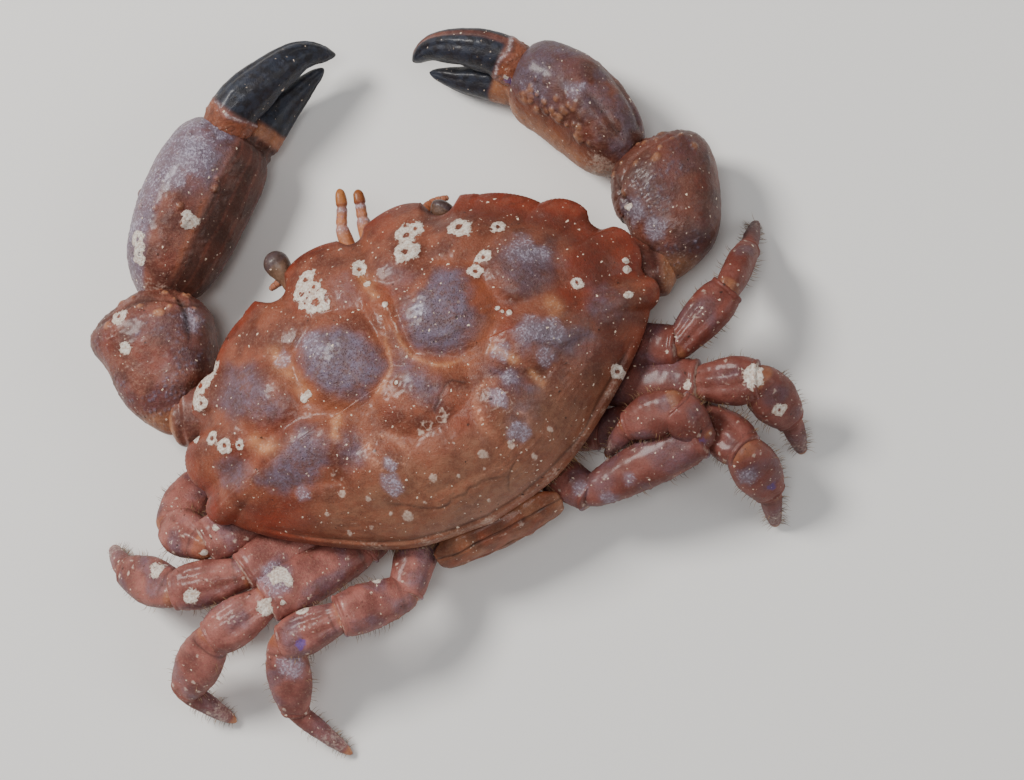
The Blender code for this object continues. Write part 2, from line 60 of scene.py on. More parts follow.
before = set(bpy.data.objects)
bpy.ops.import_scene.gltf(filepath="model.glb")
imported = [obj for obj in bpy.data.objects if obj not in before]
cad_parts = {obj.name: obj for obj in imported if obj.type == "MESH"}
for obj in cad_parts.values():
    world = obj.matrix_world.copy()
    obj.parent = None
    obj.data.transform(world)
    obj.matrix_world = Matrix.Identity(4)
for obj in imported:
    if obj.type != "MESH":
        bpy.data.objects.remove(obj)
CAD_BOX = [[float(v) for v in corner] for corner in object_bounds()]
MM = 0.001
UP = (0, 0, 1)
ACROSS = (1, 0, 0)
SIDES = ("left", "right")
# Cells along each side of the blocks of random numbers that soft noise and knobs repeat
NOISE_CELLS = 32
WART_CELLS = 20

# The shell
HALF_OUTLINE = (
    (0.0, -19.0), (6.8, -19.0), (12.4, -17.0), (18.3, -13.3), (22.7, -9.1), (24.5, -3.4), (24.0, 1.3),
    (18.2, 6.7), (8.8, 12.1), (0.0, 13.7),
)
SHELL_CENTRE = np.array((0.0, -2.5))
SHELL_TOP = 18.3
EDGE_FRONT = 11.6
EDGE_SIDE = 11.2
EDGE_REAR = 10.2
SHELL_FLOOR = 7.6
# The lip of the margin: its height, and where its inner edge lies from the middle out
LIP = 1.0
LIP_SHARE = 0.938
# Points along half the margin and from the middle out to it, and rounds of smoothing of the regions
SHELL_COLUMNS = 330
SHELL_RINGS = 215
REGION_ROUNDS = 14
# Roundness of the shell's profile in front and behind, and spacing of the fine beads on its edge
FRONT_POWER = 2.6
REAR_POWER = 3.1
BEAD_SPACING = 0.75
# Lobes and notches of the margin: place along the half outline, half width, reach outwards
MARGIN_FEATURES = {
    "front_notch": (0.0, 1.5, -0.8),
    "front_lobe": (4.3, 3.4, 0.5),
    "orbit": (9.9, 2.0, -1.8),
    "orbit_corner": (12.6, 1.3, 0.3),
    "lobe_1": (16.6, 3.7, 0.5),
    "lobe_2": (22.9, 2.7, 0.85),
    "lobe_notch": (26.4, 1.5, -0.6),
    "lobe_3": (30.1, 2.9, 1.2),
    "lobe_4": (35.6, 1.8, 0.9),
}
# Raised regions: x, y, half length across, half length along, turn, height; in pairs off the middle line
REGIONS = (
    ("protogastric", 5.7, -6.5, 5.2, 5.2, 0.0, 1.2),
    ("frontal", 3.2, -14.2, 3.6, 3.0, 0.0, 0.65),
    ("hepatic", 10.6, -12.6, 4.0, 3.0, -20.0, 0.75),
    ("front_lateral", 14.6, -7.2, 4.6, 4.4, 20.0, 1.05),
    ("edge_lateral", 20.0, -5.6, 3.3, 3.7, 15.0, 0.85),
    ("gastric_tongue", 0.0, -7.4, 1.7, 5.6, 0.0, 0.6),
    ("gastric", 0.0, 0.3, 5.0, 3.9, 0.0, 0.8),
    ("side_wedge", 12.9, 0.4, 6.2, 3.6, -12.0, 0.9),
    ("edge_wedge", 20.2, 0.4, 3.2, 2.7, 0.0, 0.65),
    ("inner_branchial", 7.4, 5.4, 4.0, 3.3, -15.0, 0.8),
    ("cardiac", 0.0, 7.0, 4.6, 3.2, 0.0, 0.65),
    ("outer_branchial", 14.2, 5.2, 4.6, 2.8, -28.0, 0.55),
    ("intestinal", 0.0, 11.2, 5.6, 2.1, 0.0, 0.4),
)
# Purple-grey bloom on the domes: strength, softness of the edge, and the corners of the patch
BLOOMS = {
    "protogastric_right": (1.0, 1.0, (
        (-2.5, -9.0), (-5.0, -8.8), (-6.6, -10.1), (-8.9, -9.6), (-9.0, -7.0), (-8.4, -4.3), (-7.6, -2.5),
        (-5.8, -1.7), (-3.5, -2.0), (-1.7, -3.7), (-1.2, -6.2),
    )),
    "protogastric_left": (1.0, 1.0, (
        (8.6, -10.4), (6.1, -10.0), (4.2, -9.0), (2.4, -7.5), (1.7, -5.3), (2.2, -3.6), (3.6, -2.3),
        (5.7, -2.1), (7.6, -2.9), (8.7, -4.9), (9.3, -7.8),
    )),
    "front_lateral_left": (0.75, 1.8, (
        (16.7, -12.6), (13.6, -11.4), (12.9, -9.0), (12.4, -5.6), (13.2, -3.6), (16.1, -4.6), (19.0, -6.8),
        (19.6, -9.8),
    )),
    "side_left": (0.9, 1.3, (
        (12.6, -2.8), (10.7, -1.7), (10.1, 0.4), (11.4, 2.2), (13.5, 3.6), (16.2, 2.7), (18.4, 1.4),
        (18.5, 0.2), (16.0, -0.8),
    )),
    "edge_left": (0.7, 1.0, (
        (22.0, -3.6), (19.7, -3.0), (19.3, -1.3), (20.6, 0.0), (22.3, -1.7),
    )),
    "gastric": (0.75, 1.4, (
        (0.1, -6.0), (-0.5, -4.3), (-2.2, -1.6), (-2.3, 0.8), (-0.6, 2.8), (0.4, 1.4), (1.4, -1.0),
        (1.5, -3.2),
    )),
    "inner_left": (0.7, 1.3, (
        (9.0, 0.2), (7.2, 0.0), (6.5, 1.4), (7.6, 3.6), (9.4, 3.8), (10.3, 2.2),
    )),
    "inner_right": (0.8, 1.3, (
        (-6.7, 0.6), (-8.9, 1.5), (-10.2, 3.2), (-10.2, 4.8), (-8.3, 5.2), (-7.2, 3.4),
    )),
    "side_right": (0.85, 1.5, (
        (-10.1, -1.0), (-12.7, -1.1), (-15.9, 0.3), (-18.4, 1.6), (-17.7, 3.3), (-14.9, 4.1), (-12.2, 3.0),
        (-10.3, 1.4),
    )),
    "front_lateral_right": (0.7, 1.9, (
        (-13.2, -10.4), (-15.7, -9.7), (-18.4, -7.9), (-18.2, -5.4), (-16.4, -3.6), (-13.6, -3.4),
        (-11.9, -5.6), (-12.1, -8.2),
    )),
    "edge_right": (0.6, 1.5, (
        (-19.1, -2.3), (-21.4, -2.2), (-22.3, -0.3), (-20.9, 1.8), (-18.4, 2.0), (-17.6, 0.6),
    )),
    "frontal_left": (0.35, 1.4, (
        (3.9, -14.8), (1.4, -14.6), (0.9, -12.3), (1.6, -10.4), (3.9, -10.6),
    )),
    "frontal_right": (0.35, 1.4, (
        (-1.5, -13.9), (-3.5, -13.1), (-5.4, -10.7), (-4.6, -9.4), (-2.6, -9.6), (-1.4, -11.7),
    )),
    "rear_right": (0.55, 1.0, (
        (-8.1, 4.7), (-9.4, 5.8), (-9.1, 7.3), (-7.0, 8.0), (-5.9, 7.4), (-7.1, 5.9),
    )),
}
# Lines on the shell: the mask that they join, strength, half width, and the places that they pass
LINES = {
    "rim_left": ("tan", 0.45, 0.22, (
        (0.7, -6.4), (1.0, -4.8), (1.6, -3.4), (2.5, -2.3), (3.9, -1.6),
    )),
    "rim_right": ("tan", 0.5, 0.22, (
        (-0.5, -6.3), (-0.5, -4.8), (-0.9, -3.4), (-2.0, -2.0), (-3.3, -1.1), (-5.3, -0.8),
    )),
    "halo_left": ("halo", 0.75, 1.5, (
        (0.5, -7.0), (1.0, -4.8), (1.6, -3.3), (2.6, -2.0), (4.0, -1.2), (5.8, -1.0), (8.0, -1.6),
        (9.7, -3.9), (10.6, -6.2), (11.3, -9.0),
    )),
    "halo_right": ("halo", 0.7, 1.2, (
        (-0.4, -6.4), (-0.6, -4.6), (-1.0, -3.2), (-2.1, -1.8), (-3.5, -0.9), (-5.2, -0.6), (-7.0, -0.9),
        (-8.8, -2.2), (-9.9, -4.0), (-10.1, -6.2), (-9.9, -8.0),
    )),
    "halo_front": ("halo", 0.7, 1.0, (
        (0.2, -15.0), (0.1, -12.0), (0.0, -10.2), (-0.4, -8.6), (-0.2, -6.6),
    )),
    "band_left": ("tan", 0.5, 0.7, (
        (11.6, -11.0), (11.3, -8.9), (10.7, -6.8), (10.1, -4.9),
    )),
    "thread": ("pale", 0.6, 0.14, (
        (-0.7, -9.2), (-0.75, -7.7), (-0.6, -6.1),
    )),
    "front_crack": ("tan", 0.7, 0.5, (
        (0.3, -13.6), (0.15, -12.2), (0.0, -10.8),
    )),
    "dash_right": ("tan", 0.95, 0.42, (
        (-8.2, -0.6), (-9.1, 0.5), (-9.8, 1.7),
    )),
    "dash_rear": ("tan", 0.9, 0.38, (
        (-10.5, 3.2), (-10.8, 4.0), (-11.1, 4.8),
    )),
    "dash_left": ("tan", 0.95, 0.42, (
        (8.4, -1.5), (8.9, -0.6), (9.4, 0.3),
    )),
    "blotch_left": ("tan", 0.8, 0.75, (
        (17.3, -3.6), (16.6, -2.6), (15.7, -2.1),
    )),
    "blotch_right": ("tan", 0.8, 0.7, (
        (-15.2, -2.3), (-15.7, -1.4), (-15.3, -0.7),
    )),
    "red_dome": ("red", 0.9, 1.4, (
        (-10.1, -7.2), (-10.5, -4.3), (-10.2, -1.9), (-8.7, -0.9),
    )),
    "red_side": ("red", 0.9, 1.5, (
        (-17.0, -2.4), (-18.6, -0.6), (-19.4, -3.2), (-19.8, -5.6),
    )),
    "red_edge": ("red", 0.8, 1.7, (
        (25.0, -2.4), (24.4, 0.4), (22.0, 3.0), (17.6, 5.6), (14.4, 8.0),
    )),
    "red_rear": ("red", 0.5, 1.6, (
        (3.4, 6.6), (0.0, 6.2), (-2.4, 5.0),
    )),
    "crease_rear": ("dark", 0.6, 0.13, (
        (7.9, 8.2), (6.0, 9.3), (4.0, 10.5), (1.3, 10.6), (-1.4, 10.4), (-3.8, 10.8),
    )),
    "crease_fork": ("dark", 0.6, 0.11, (
        (-5.1, 10.0), (-3.8, 10.8), (-3.2, 12.0),
    )),
    "crease_inner": ("dark", 0.45, 0.13, (
        (-0.4, 2.6), (-1.8, 1.4), (-3.2, 0.8), (-4.4, 1.4),
    )),
}
# Beaded orange-pink rims of the scars: half width and places
SCAR_RIMS = ((0.42, ((-6.6, 2.4), (-5.2, 2.7), (-4.2, 4.1), (-4.1, 5.8), (-4.6, 7.3))),
             (0.4, ((6.9, 5.2), (7.3, 3.7), (6.8, 2.3), (5.4, 2.2), (4.2, 3.2), (3.9, 4.9), (4.6, 6.5))),
             (0.3, ((-7.6, 6.2), (-8.4, 6.9), (-7.7, 7.6))))
# Wrinkled patches inside and beside the scars: x, y, half width, half length, turn, how pale
WRINKLED = (
    (5.7, 4.3, 1.5, 2.0, 0, 0.35), (-6.3, 4.6, 1.9, 2.2, 20, 0.55), (-1.1, 3.4, 0.95, 0.75, 20, 0.9),
    (1.2, 3.8, 1.0, 0.95, 0, 0.9), (-3.2, 2.2, 1.3, 1.9, 30, 0.25), (3.0, 1.9, 2.2, 1.2, -15, 0.25),
    (11.2, 3.7, 0.8, 0.8, 0, 0.6),
)
# Whitish violet crust: x, y, half width, half length, turn
CRUSTS = (
    (6.5, 6.9, 1.0, 1.3, 25), (-6.9, 7.9, 1.4, 0.9, 20), (-6.6, 4.3, 0.9, 1.1, 0), (5.9, 5.2, 0.7, 0.8, 0),
)
# Frosted specks: x, y, radius
FROSTS = (
    (7.6, -9.2, 1.6), (-12.3, -0.5, 1.5), (-14.2, 0.6, 1.3), (-12.6, 2.6, 1.0), (-15.2, -8.4, 1.6),
    (-16.6, -7.2, 1.1), (-8.9, 0.4, 1.1), (15.0, 3.4, 0.9), (-3.6, -7.0, 1.0), (11.0, -9.4, 0.9),
    (-8.6, 2.9, 0.8),
)
# Pale blots on the rear: x, y, radius, of which the mark takes up a share
BLOT_SHARE = 0.65
BLOTS = (
    (2.7, 8.1, 0.75), (-2.8, 8.3, 0.7), (11.5, 5.3, 0.5), (9.4, 6.9, 0.5), (10.7, 9.1, 0.6),
    (13.0, 8.5, 0.5), (6.9, 9.9, 0.85), (-5.6, 8.5, 0.6), (-7.0, 10.3, 0.5), (4.6, 9.6, 0.35),
    (8.2, 9.0, 0.4), (-1.0, 12.0, 0.35), (-2.2, 9.4, 0.45), (0.4, 9.0, 0.4), (13.9, 6.2, 0.4),
    (-9.6, 8.6, 0.45),
)
# Thin lime stains: x, y, radius
CHALK = (
    (5.8, -16.1, 1.3), (5.6, -13.2, 1.75), (6.6, -15.0, 1.3), (5.2, -14.8, 1.0), (0.3, -14.3, 1.05),
    (0.1, -12.4, 0.5), (-0.7, -9.3, 0.35), (-5.4, -15.3, 1.35), (-4.7, -13.5, 1.35), (-6.4, -15.6, 0.9),
    (-10.5, -13.5, 1.3), (-13.9, -11.9, 0.8), (-11.4, -9.3, 0.85), (-10.1, -8.3, 0.85), (19.0, -13.1, 1.2),
    (20.4, -12.1, 1.3), (21.0, -10.3, 1.05), (18.1, -13.4, 0.7), (21.2, -6.1, 0.9), (20.2, -4.7, 0.9),
    (18.8, -3.9, 0.65), (23.0, -7.3, 0.45), (10.8, -4.7, 0.5), (10.1, -4.9, 0.4), (-18.0, 6.1, 0.85),
    (-18.5, -3.0, 0.75), (-10.4, -3.9, 0.35), (-10.7, -3.4, 0.3), (-11.3, -3.0, 0.35), (-22.4, 0.2, 0.5),
    (-23.4, -2.6, 0.4), (-23.7, -3.4, 0.35), (1.6, -1.6, 0.22),
)

# The chest: height, half width, front, rear, squareness of each level
CHEST_LEVELS = (
    (7.9, 15.4, -16.2, 11.6, 2.6),
    (6.2, 14.2, -16.4, 12.2, 2.6),
    (4.6, 12.6, -15.9, 12.0, 2.6),
    (3.0, 11.6, -15.0, 11.2, 2.5),
    (2.1, 10.2, -13.6, 10.0, 2.4),
    (1.8, 7.4, -11.4, 7.6, 2.2),
    (1.9, 3.2, -8.0, 4.0, 2.0),
)
CHEST_CENTRE_Y = -1.5
TAIL_PATH = (
    (12.2, 9.0), (14.2, 8.4), (15.0, 6.6), (14.2, 4.2), (11.4, 2.3), (6.4, 1.9), (1.2, 1.85), (-3.6, 1.95),
)
TAIL_WIDTHS = (6.6, 7.0, 6.6, 5.2, 4.2, 3.3, 2.7, 1.5)
TAIL_THICKNESS = 0.65
TAIL_JOINTS = 7

# The legs, by their joints: coxa's end, knee, ankle, foot joint, tip
LEG_ROOTS = ((10.6, -0.8, 5.0), (10.8, 3.2, 5.0), (9.8, 7.0, 5.2), (7.0, 10.4, 6.2))
LEG_JOINTS = {
    ("left", 1): ((15.2, 0.6, 5.6), (27.4, 1.9, 8.6), (30.2, -1.7, 6.2),
                  (26.2, -5.9, 2.3), (21.6, -9.4, 0.45)),
    ("left", 2): ((15.0, 5.0, 5.8), (25.0, 6.6, 8.6), (32.4, 4.7, 8.0),
                  (36.9, -0.3, 4.0), (38.0, -4.0, 0.45)),
    ("left", 3): ((13.4, 9.4, 6.4), (24.0, 10.2, 9.4), (30.7, 11.0, 9.0),
                  (36.6, 13.6, 3.9), (33.8, 18.4, 0.45)),
    ("left", 4): ((11.2, 15.6, 7.6), (17.8, 15.1, 9.8), (24.3, 14.6, 8.8),
                  (27.2, 20.6, 3.4), (24.3, 26.8, 0.45)),
    ("right", 1): ((-15.2, 0.6, 5.6), (-24.4, 6.0, 9.0), (-31.3, 3.1, 8.8),
                   (-35.1, -0.5, 4.4), (-37.3, -3.6, 0.45)),
    ("right", 2): ((-15.0, 5.0, 5.8), (-24.6, 10.2, 8.6), (-29.9, 12.8, 10.0),
                   (-31.1, 17.0, 5.0), (-30.7, 20.0, 0.45)),
    ("right", 3): ((-13.4, 9.4, 6.0), (-23.6, 13.2, 6.8), (-25.6, 18.4, 9.2),
                   (-26.0, 22.6, 4.6), (-24.9, 25.4, 0.45)),
    ("right", 4): ((-9.8, 15.0, 7.8), (-22.4, 15.4, 10.2), (-21.6, 11.9, 12.2),
                   (-16.6, 11.2, 10.8), (-13.0, 12.4, 7.4)),
}
ARTICLES = ("coxa", "merus", "carpus", "propodus", "dactylus")
ARTICLE_SECTIONS = {
    "coxa": ((2.3, 2.4, 2.2, 1.9), (2.1, 2.2, 2.0, 1.7)),
    "merus": ((1.5, 2.2, 2.6, 2.6, 2.2), (1.4, 1.8, 2.0, 2.0, 1.8)),
    "carpus": ((1.3, 1.9, 2.4, 2.4, 1.8), (1.2, 1.6, 1.9, 1.9, 1.5)),
    "propodus": ((1.3, 2.2, 2.5, 2.1, 1.4), (1.2, 1.5, 1.6, 1.5, 1.2)),
    "dactylus": ((0.95, 1.15, 1.0, 0.75, 0.45), (0.9, 1.0, 0.9, 0.68, 0.42)),
}
LEG_SIZE = {"left": (1.0, 1.0, 1.0, 0.92), "right": (0.9, 1.0, 1.0, 0.92)}
# The last two articles of this leg stand on edge
EDGEWISE_LEG = ("right", 1)
ROOT_SINK = 1.4
JOINT_OVERHANG = 0.5
# Lime stains, violet knuckles and frosted patches on the limbs: place and radius. The last four lime marks
# are painted highlights, white glints on the knuckles.
LIMB_CHALK_AND_HIGHLIGHTS = (
    (-29.7, 12.5, 11.1, 1.4), (-30.6, 16.2, 8.4, 0.9), (33.2, 2.0, 7.9, 1.1), (30.7, 6.3, 9.6, 1.0),
    (21.7, 8.7, 10.3, 1.2), (20.9, 9.6, 10.5, 0.7), (24.1, 10.8, 10.4, 1.15), (22.4, 11.2, 10.4, 0.6),
    (20.9, 13.0, 10.2, 0.8), (13.2, 13.6, 9.2, 0.6), (14.4, 13.3, 9.2, 0.65), (15.6, 13.1, 9.1, 0.6),
    (14.6, -28.9, 9.8, 1.25), (20.6, -28.2, 9.8, 1.3), (20.2, -29.6, 10.0, 1.05), (25.2, -22.9, 10.6, 1.15),
    (25.9, -19.7, 10.9, 0.9), (26.5, 1.8, 9.8, 0.6), (25.5, 1.2, 9.9, 0.5), (27.7, 2.7, 9.5, 0.5),
    (-31.5, 3.3, 9.7, 0.4), (-31.0, 4.2, 9.8, 0.35), (-23.4, 6.2, 10.0, 0.5), (-23.6, 10.1, 9.9, 0.6),
    # Painted highlights: white glints on four knuckles, laid as lime stains
    (22.8, 14.9, 10.6, 0.45), (-22.5, 14.9, 11.9, 0.45), (-21.3, -27.8, 7.4, 0.5), (-26.4, -9.0, 9.4, 0.6),
)
LIMB_VIOLET = (
    (22.6, 15.8, 10.3, 0.85), (-22.3, 15.7, 10.9, 0.9), (9.1, 14.1, 8.3, 0.6), (-26.4, 22.4, 6.9, 0.6),
    (-21.4, -27.6, 7.0, 0.8),
)
LIMB_FROST = (
    (24.8, 17.2, 8.5, 1.5), (-24.8, 20.8, 8.6, 1.2), (18.7, -19.4, 9.7, 1.4), (-26.7, -8.4, 9.5, 1.6),
    (-27.8, -5.6, 10.0, 1.4), (11.6, -34.6, 10.6, 2.0), (13.9, -33.4, 10.8, 1.6), (10.4, -36.0, 10.2, 1.5),
    (22.2, 8.9, 10.3, 1.8), (-9.4, 14.4, 8.8, 0.9), (-11.6, 16.4, 9.0, 1.0), (-14.2, 15.9, 10.2, 0.8),
    (-26.8, -22.3, 10.1, 1.2), (20.2, -31.2, 9.6, 1.6),
)

CLAWS = {
    "left": {
        "merus": ((11.5, -7.4, 5.6), (19.0, -9.8, 6.2), (25.3, -11.8, 6.8)),
        "carpus": ((25.6, -11.6, 6.6), (23.7, -18.1, 6.4), (22.0, -24.9, 6.0)),
        "palm": ((21.4, -24.4, 6.0), (13.8, -31.6, 5.7), (6.4, -36.9, 5.5)),
        "fixed_finger": ((9.0, -34.0, 4.2), (5.0, -35.6, 3.6), (0.8, -37.5, 3.2), (-4.4, -39.0, 3.5)),
        "finger": ((8.4, -36.3, 6.6), (5.0, -38.3, 7.9), (0.8, -39.5, 7.9), (-3.2, -40.2, 6.9),
                   (-6.2, -39.2, 5.0)),
        "finger_up": (0.48, -0.51, 0.71),
        "size": 1.0,
    },
    "right": {
        "merus": ((-11.5, -6.2, 5.6), (-20.2, -5.0, 6.0), (-27.4, -2.0, 6.6)),
        "carpus": ((-27.5, -2.2, 6.4), (-30.2, -8.2, 6.2), (-28.6, -14.6, 5.8)),
        "palm": ((-28.3, -14.6, 5.8), (-26.2, -22.3, 5.3), (-22.2, -28.4, 5.0)),
        "fixed_finger": ((-23.6, -26.0, 3.6), (-21.0, -28.2, 3.1), (-17.2, -30.8, 2.8),
                         (-14.0, -33.4, 3.0)),
        "finger": ((-23.5, -27.3, 5.8), (-21.3, -30.6, 6.9), (-18.4, -33.1, 6.8), (-15.5, -34.7, 5.8),
                   (-13.1, -34.9, 4.2)),
        "finger_up": (-0.55, -0.23, 0.8),
        "size": 0.9,
    },
}
CLAW_MERUS = ((3.2, 3.7, 3.9, 3.2), (2.8, 3.3, 3.5, 3.0))
CLAW_CARPUS = ((2.6, 4.7, 5.7, 5.7, 4.2), (2.6, 4.3, 5.0, 5.0, 3.8))
CLAW_PALM = ((2.9, 3.9, 4.3, 4.1, 3.3), (3.2, 5.2, 5.9, 5.6, 4.4))
CLAW_FIXED = ((2.4, 2.2, 1.5, 0.5), (3.0, 2.5, 1.7, 0.5))
CLAW_FINGER = ((2.2, 2.3, 2.0, 1.4, 0.5), (2.4, 2.5, 2.1, 1.5, 0.5))
INNER_ANGLE_REACH = 1.3
FINGER_TEETH = 4
PALM_VOXEL = 0.16
PALM_ROUNDS = 5
ARM_OVERHANG = 0.6

EYE_PATHS = {
    "left": ((7.6, -16.2, 10.6), (8.0, -19.0, 10.9), (8.4, -21.5, 11.1)),
    "right": ((-7.7, -16.0, 10.4), (-8.9, -17.0, 10.3), (-10.2, -17.9, 10.2)),
}
EYE_RADII = (0.8, 0.85, 1.3, 1.25)
JAW_PATH = ((2.25, -8.2, 2.1), (2.3, -12.2, 2.3), (2.4, -16.0, 4.6))
JAW_SECTION = ((1.7, 2.05, 2.05, 2.0, 1.8), (0.75, 0.8, 0.65, 0.8, 0.7))
ANTENNA_PATH = ((6.2, -16.2, 8.9), (7.2, -18.2, 8.6), (8.7, -19.1, 8.2), (10.4, -19.0, 7.8))
ANTENNA_RADII = (1.0, 0.85, 0.5, 0.3)
ANTENNULE_PATHS = {
    "left": ((1.0, -17.6, 9.4), (0.7, -20.6, 9.8), (-0.3, -22.6, 10.2), (-0.9, -24.4, 10.4)),
    "right": ((-1.0, -17.6, 9.4), (-1.6, -20.4, 9.8), (-2.1, -22.0, 10.1), (-2.5, -23.5, 10.2)),
}
ANTENNULE_RADII = (0.8, 0.75, 0.55, 0.6, 0.45)

# The camera, in the crab's frame: place, tilts to the rear and the side, and turn about its own axis
CAMERA_PLACE = (-28.62, 65.02, 303.58)
CAMERA_TILT_REAR = math.radians(12.0)
CAMERA_TILT_SIDE = math.radians(4.0)
CAMERA_TURN = math.radians(-63.8)
SENSOR = 36
CAMERA_LENS = 3000 / 1024 * SENSOR

FLOOR_HALF = 1.2
# The lights, in metres: place from the crab's middle, size, share of the key's power, colour
LIGHTS = {
    "key": ((0.17, -0.26, 0.38), 0.16, 1.0, (1.0, 0.97, 0.93)),
    "fill": ((-0.34, 0.24, 0.30), 0.35, 0.25, (1.0, 1.0, 1.0)),
    "top": ((0.02, 0.06, 0.60), 0.18, 0.3, (1.0, 1.0, 1.0)),
}

# Steps along a path or the outline, and points compared with a path at once
PATH_STEPS = 160
OUTLINE_STEPS = 900
POINTS_AT_ONCE = 20000

# The dark mask holds painted shade in places, and the chalk mask holds four painted highlights on knuckles
MASKS = ("bloom", "halo", "tan", "red", "rear", "pale", "scar", "frost", "chalk_and_highlight", "violet", "dark", "horn")


def frame_shift():
    """From the crab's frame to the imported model's, in millimetres: the shell is the reference."""
    low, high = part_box("carapace")
    return np.array(((low.x + high.x) / 2 / MM, high.y / MM - HALF_OUTLINE[-1][1], 0.0))


def density():
    """Share of the full number of points round a piece."""
    return 1.0


def unit(vectors):
    """A vector, or each row of a table of them, at length 1."""
    vectors = np.asarray(vectors, float)
    return vectors / np.linalg.norm(vectors, axis=-1, keepdims=True)


def sized(section, size):
    """The half widths and half heights along a limb, times a size."""
    return [[value * size for value in row] for row in section]


def rise(value, low, high):
    """0 below low, 1 above high, and smooth between. With high below low it falls."""
    share = np.clip((value - low) / (high - low), 0, 1)
    return share * share * (3 - 2 * share)


def between(value, low, full, fades, gone):
    """0 below low, 1 from full to where it fades, and 0 again once gone."""
    return rise(value, low, full) * rise(value, gone, fades)


def hump(value, centre, width):
    return np.exp(-((value - centre) / width) ** 2)


def squared(wave, squareness):
    """A sine or cosine bent so that a circle, at squareness 2, turns into a rounded box."""
    return np.sign(wave) * abs(wave) ** (2 / squareness)


def oval(x, y, cx, cy, across, length, turn):
    """Distance from an oval's centre, 1 on its edge. The turn is in degrees."""
    a = math.radians(turn)
    dx = x - cx
    dy = y - cy
    u = (dx * math.cos(a) + dy * math.sin(a)) / across
    v = (-dx * math.sin(a) + dy * math.cos(a)) / length
    return np.sqrt(u * u + v * v)


def spline(points, t):
    """Places at t, from 0 to 1, on the smooth curve through the points."""
    points = np.asarray(points, float)
    if points.ndim == 1:
        points = points[:, None]
    t = np.atleast_1d(np.asarray(t, float))
    spans = len(points) - 1
    i = np.minimum((t * spans).astype(int), spans - 1)
    f = (t * spans - i)[:, None]
    padded = np.vstack([2 * points[0] - points[1], points, 2 * points[-1] - points[-2]])
    a, b, c, d = padded[i], padded[i + 1], padded[i + 2], padded[i + 3]
    bend = 2 * a - 5 * b + 4 * c - d
    twist = 3 * b - a - 3 * c + d
    return 0.5 * (2 * b + (c - a) * f + bend * f * f + twist * f ** 3)


def grain(places, size, seed):
    """Soft noise from -1 to 1, in lumps about size millimetres across."""
    table = np.random.default_rng(seed).uniform(-1, 1, (NOISE_CELLS,) * 3)
    scaled = places / size
    cell = np.floor(scaled).astype(int)
    f = scaled - cell
    f = f * f * (3 - 2 * f)
    total = np.zeros(len(places))
    for corner in np.ndindex(2, 2, 2):
        weight = np.prod(np.where(corner, f, 1 - f), axis=1)
        index = (cell + corner) % NOISE_CELLS
        total += weight * table[index[:, 0], index[:, 1], index[:, 2]]
    return total


def patchy(places, size, seed, low, high):
    """Soft noise as patches: 0 where it is below low, 1 above high."""
    return rise(grain(places, size, seed), low, high)


def wrinkles(places, size, seed):
    """Narrow crests, 0 to 1, that wander like creased skin."""
    bent = places + 0.6 * size * np.column_stack([grain(places, size * 2, seed + k) for k in (1, 2, 3)])
    return np.clip(1 - 2.6 * abs(grain(bent, size, seed)), 0, 1)


def warts(places, spacing, seed, share=0.8):
    """Rounded knobs, 0 to 1, in a share of the cells of an uneven grid."""
    rng = np.random.default_rng(seed)
    block = (WART_CELLS,) * 3
    jitter = rng.uniform(0.2, 0.8, (*block, 3))
    radius = np.where(rng.uniform(0, 1, block) < share, rng.uniform(0.25, 0.5, block), 1e-6)
    scaled = places / spacing
    cell = np.floor(scaled).astype(int)
    best = np.zeros(len(places))
    for shift in np.ndindex(3, 3, 3):
        index = cell + shift - 1
        wrapped = index % WART_CELLS
        spot = jitter[wrapped[:, 0], wrapped[:, 1], wrapped[:, 2]] + index
        reach = radius[wrapped[:, 0], wrapped[:, 1], wrapped[:, 2]]
        gap = ((scaled - spot) ** 2).sum(1) / reach ** 2
        best = np.maximum(best, np.clip(1 - gap, 0, 1))
    return best


def scattered(points, share, count, radii, seed):
    """Rounded knobs, 0 to 1, set on some of the points, and more often where the share is high."""
    rng = np.random.default_rng(seed)
    chosen = rng.choice(len(points), count, p=share / share.sum())
    total = np.zeros(len(points))
    for spot, radius in zip(points[chosen], rng.uniform(*radii, count)):
        total = np.maximum(total, np.clip(1 - ((points - spot) ** 2).sum(1) / radius ** 2, 0, 1))
    return total


def near_marks(places, marks, hollow=0.0):
    """1 inside any of the round marks, fading at their ragged edges and, if hollow, at their middles."""
    total = np.zeros(len(places))
    ragged = 0.26 * grain(places, 0.8, 71) + 0.16 * grain(places, 0.35, 72)
    for *centre, radius in marks:
        gap = np.linalg.norm(places - np.array(centre), axis=1) / radius
        middle = hollow * hump(gap, 0.05, 0.24) * (radius > 0.6)
        total = np.maximum(total, rise(gap + ragged, 1.25, 0.5) * (1 - middle))
    return total


def gap_to(x, y, start, end):
    """Distance of each place from the straight piece between two points."""
    (ax, ay), (bx, by) = start, end
    share = ((x - ax) * (bx - ax) + (y - ay) * (by - ay)) / ((bx - ax) ** 2 + (by - ay) ** 2)
    share = np.clip(share, 0, 1)
    return np.hypot(x - ax - share * (bx - ax), y - ay - share * (by - ay))


def inside_patch(x, y, corners):
    """How far in from the edge of a closed patch each place lies, negative outside it."""
    nearest = np.full_like(x, 1e3)
    within = np.zeros(len(x), bool)
    for (ax, ay), (bx, by) in zip(corners, corners[1:] + corners[:1]):
        nearest = np.minimum(nearest, gap_to(x, y, (ax, ay), (bx, by)))
        within ^= ((ay > y) != (by > y)) & (x < (bx - ax) * (y - ay) / (by - ay + 1e-9) + ax)
    return np.where(within, nearest, -nearest)


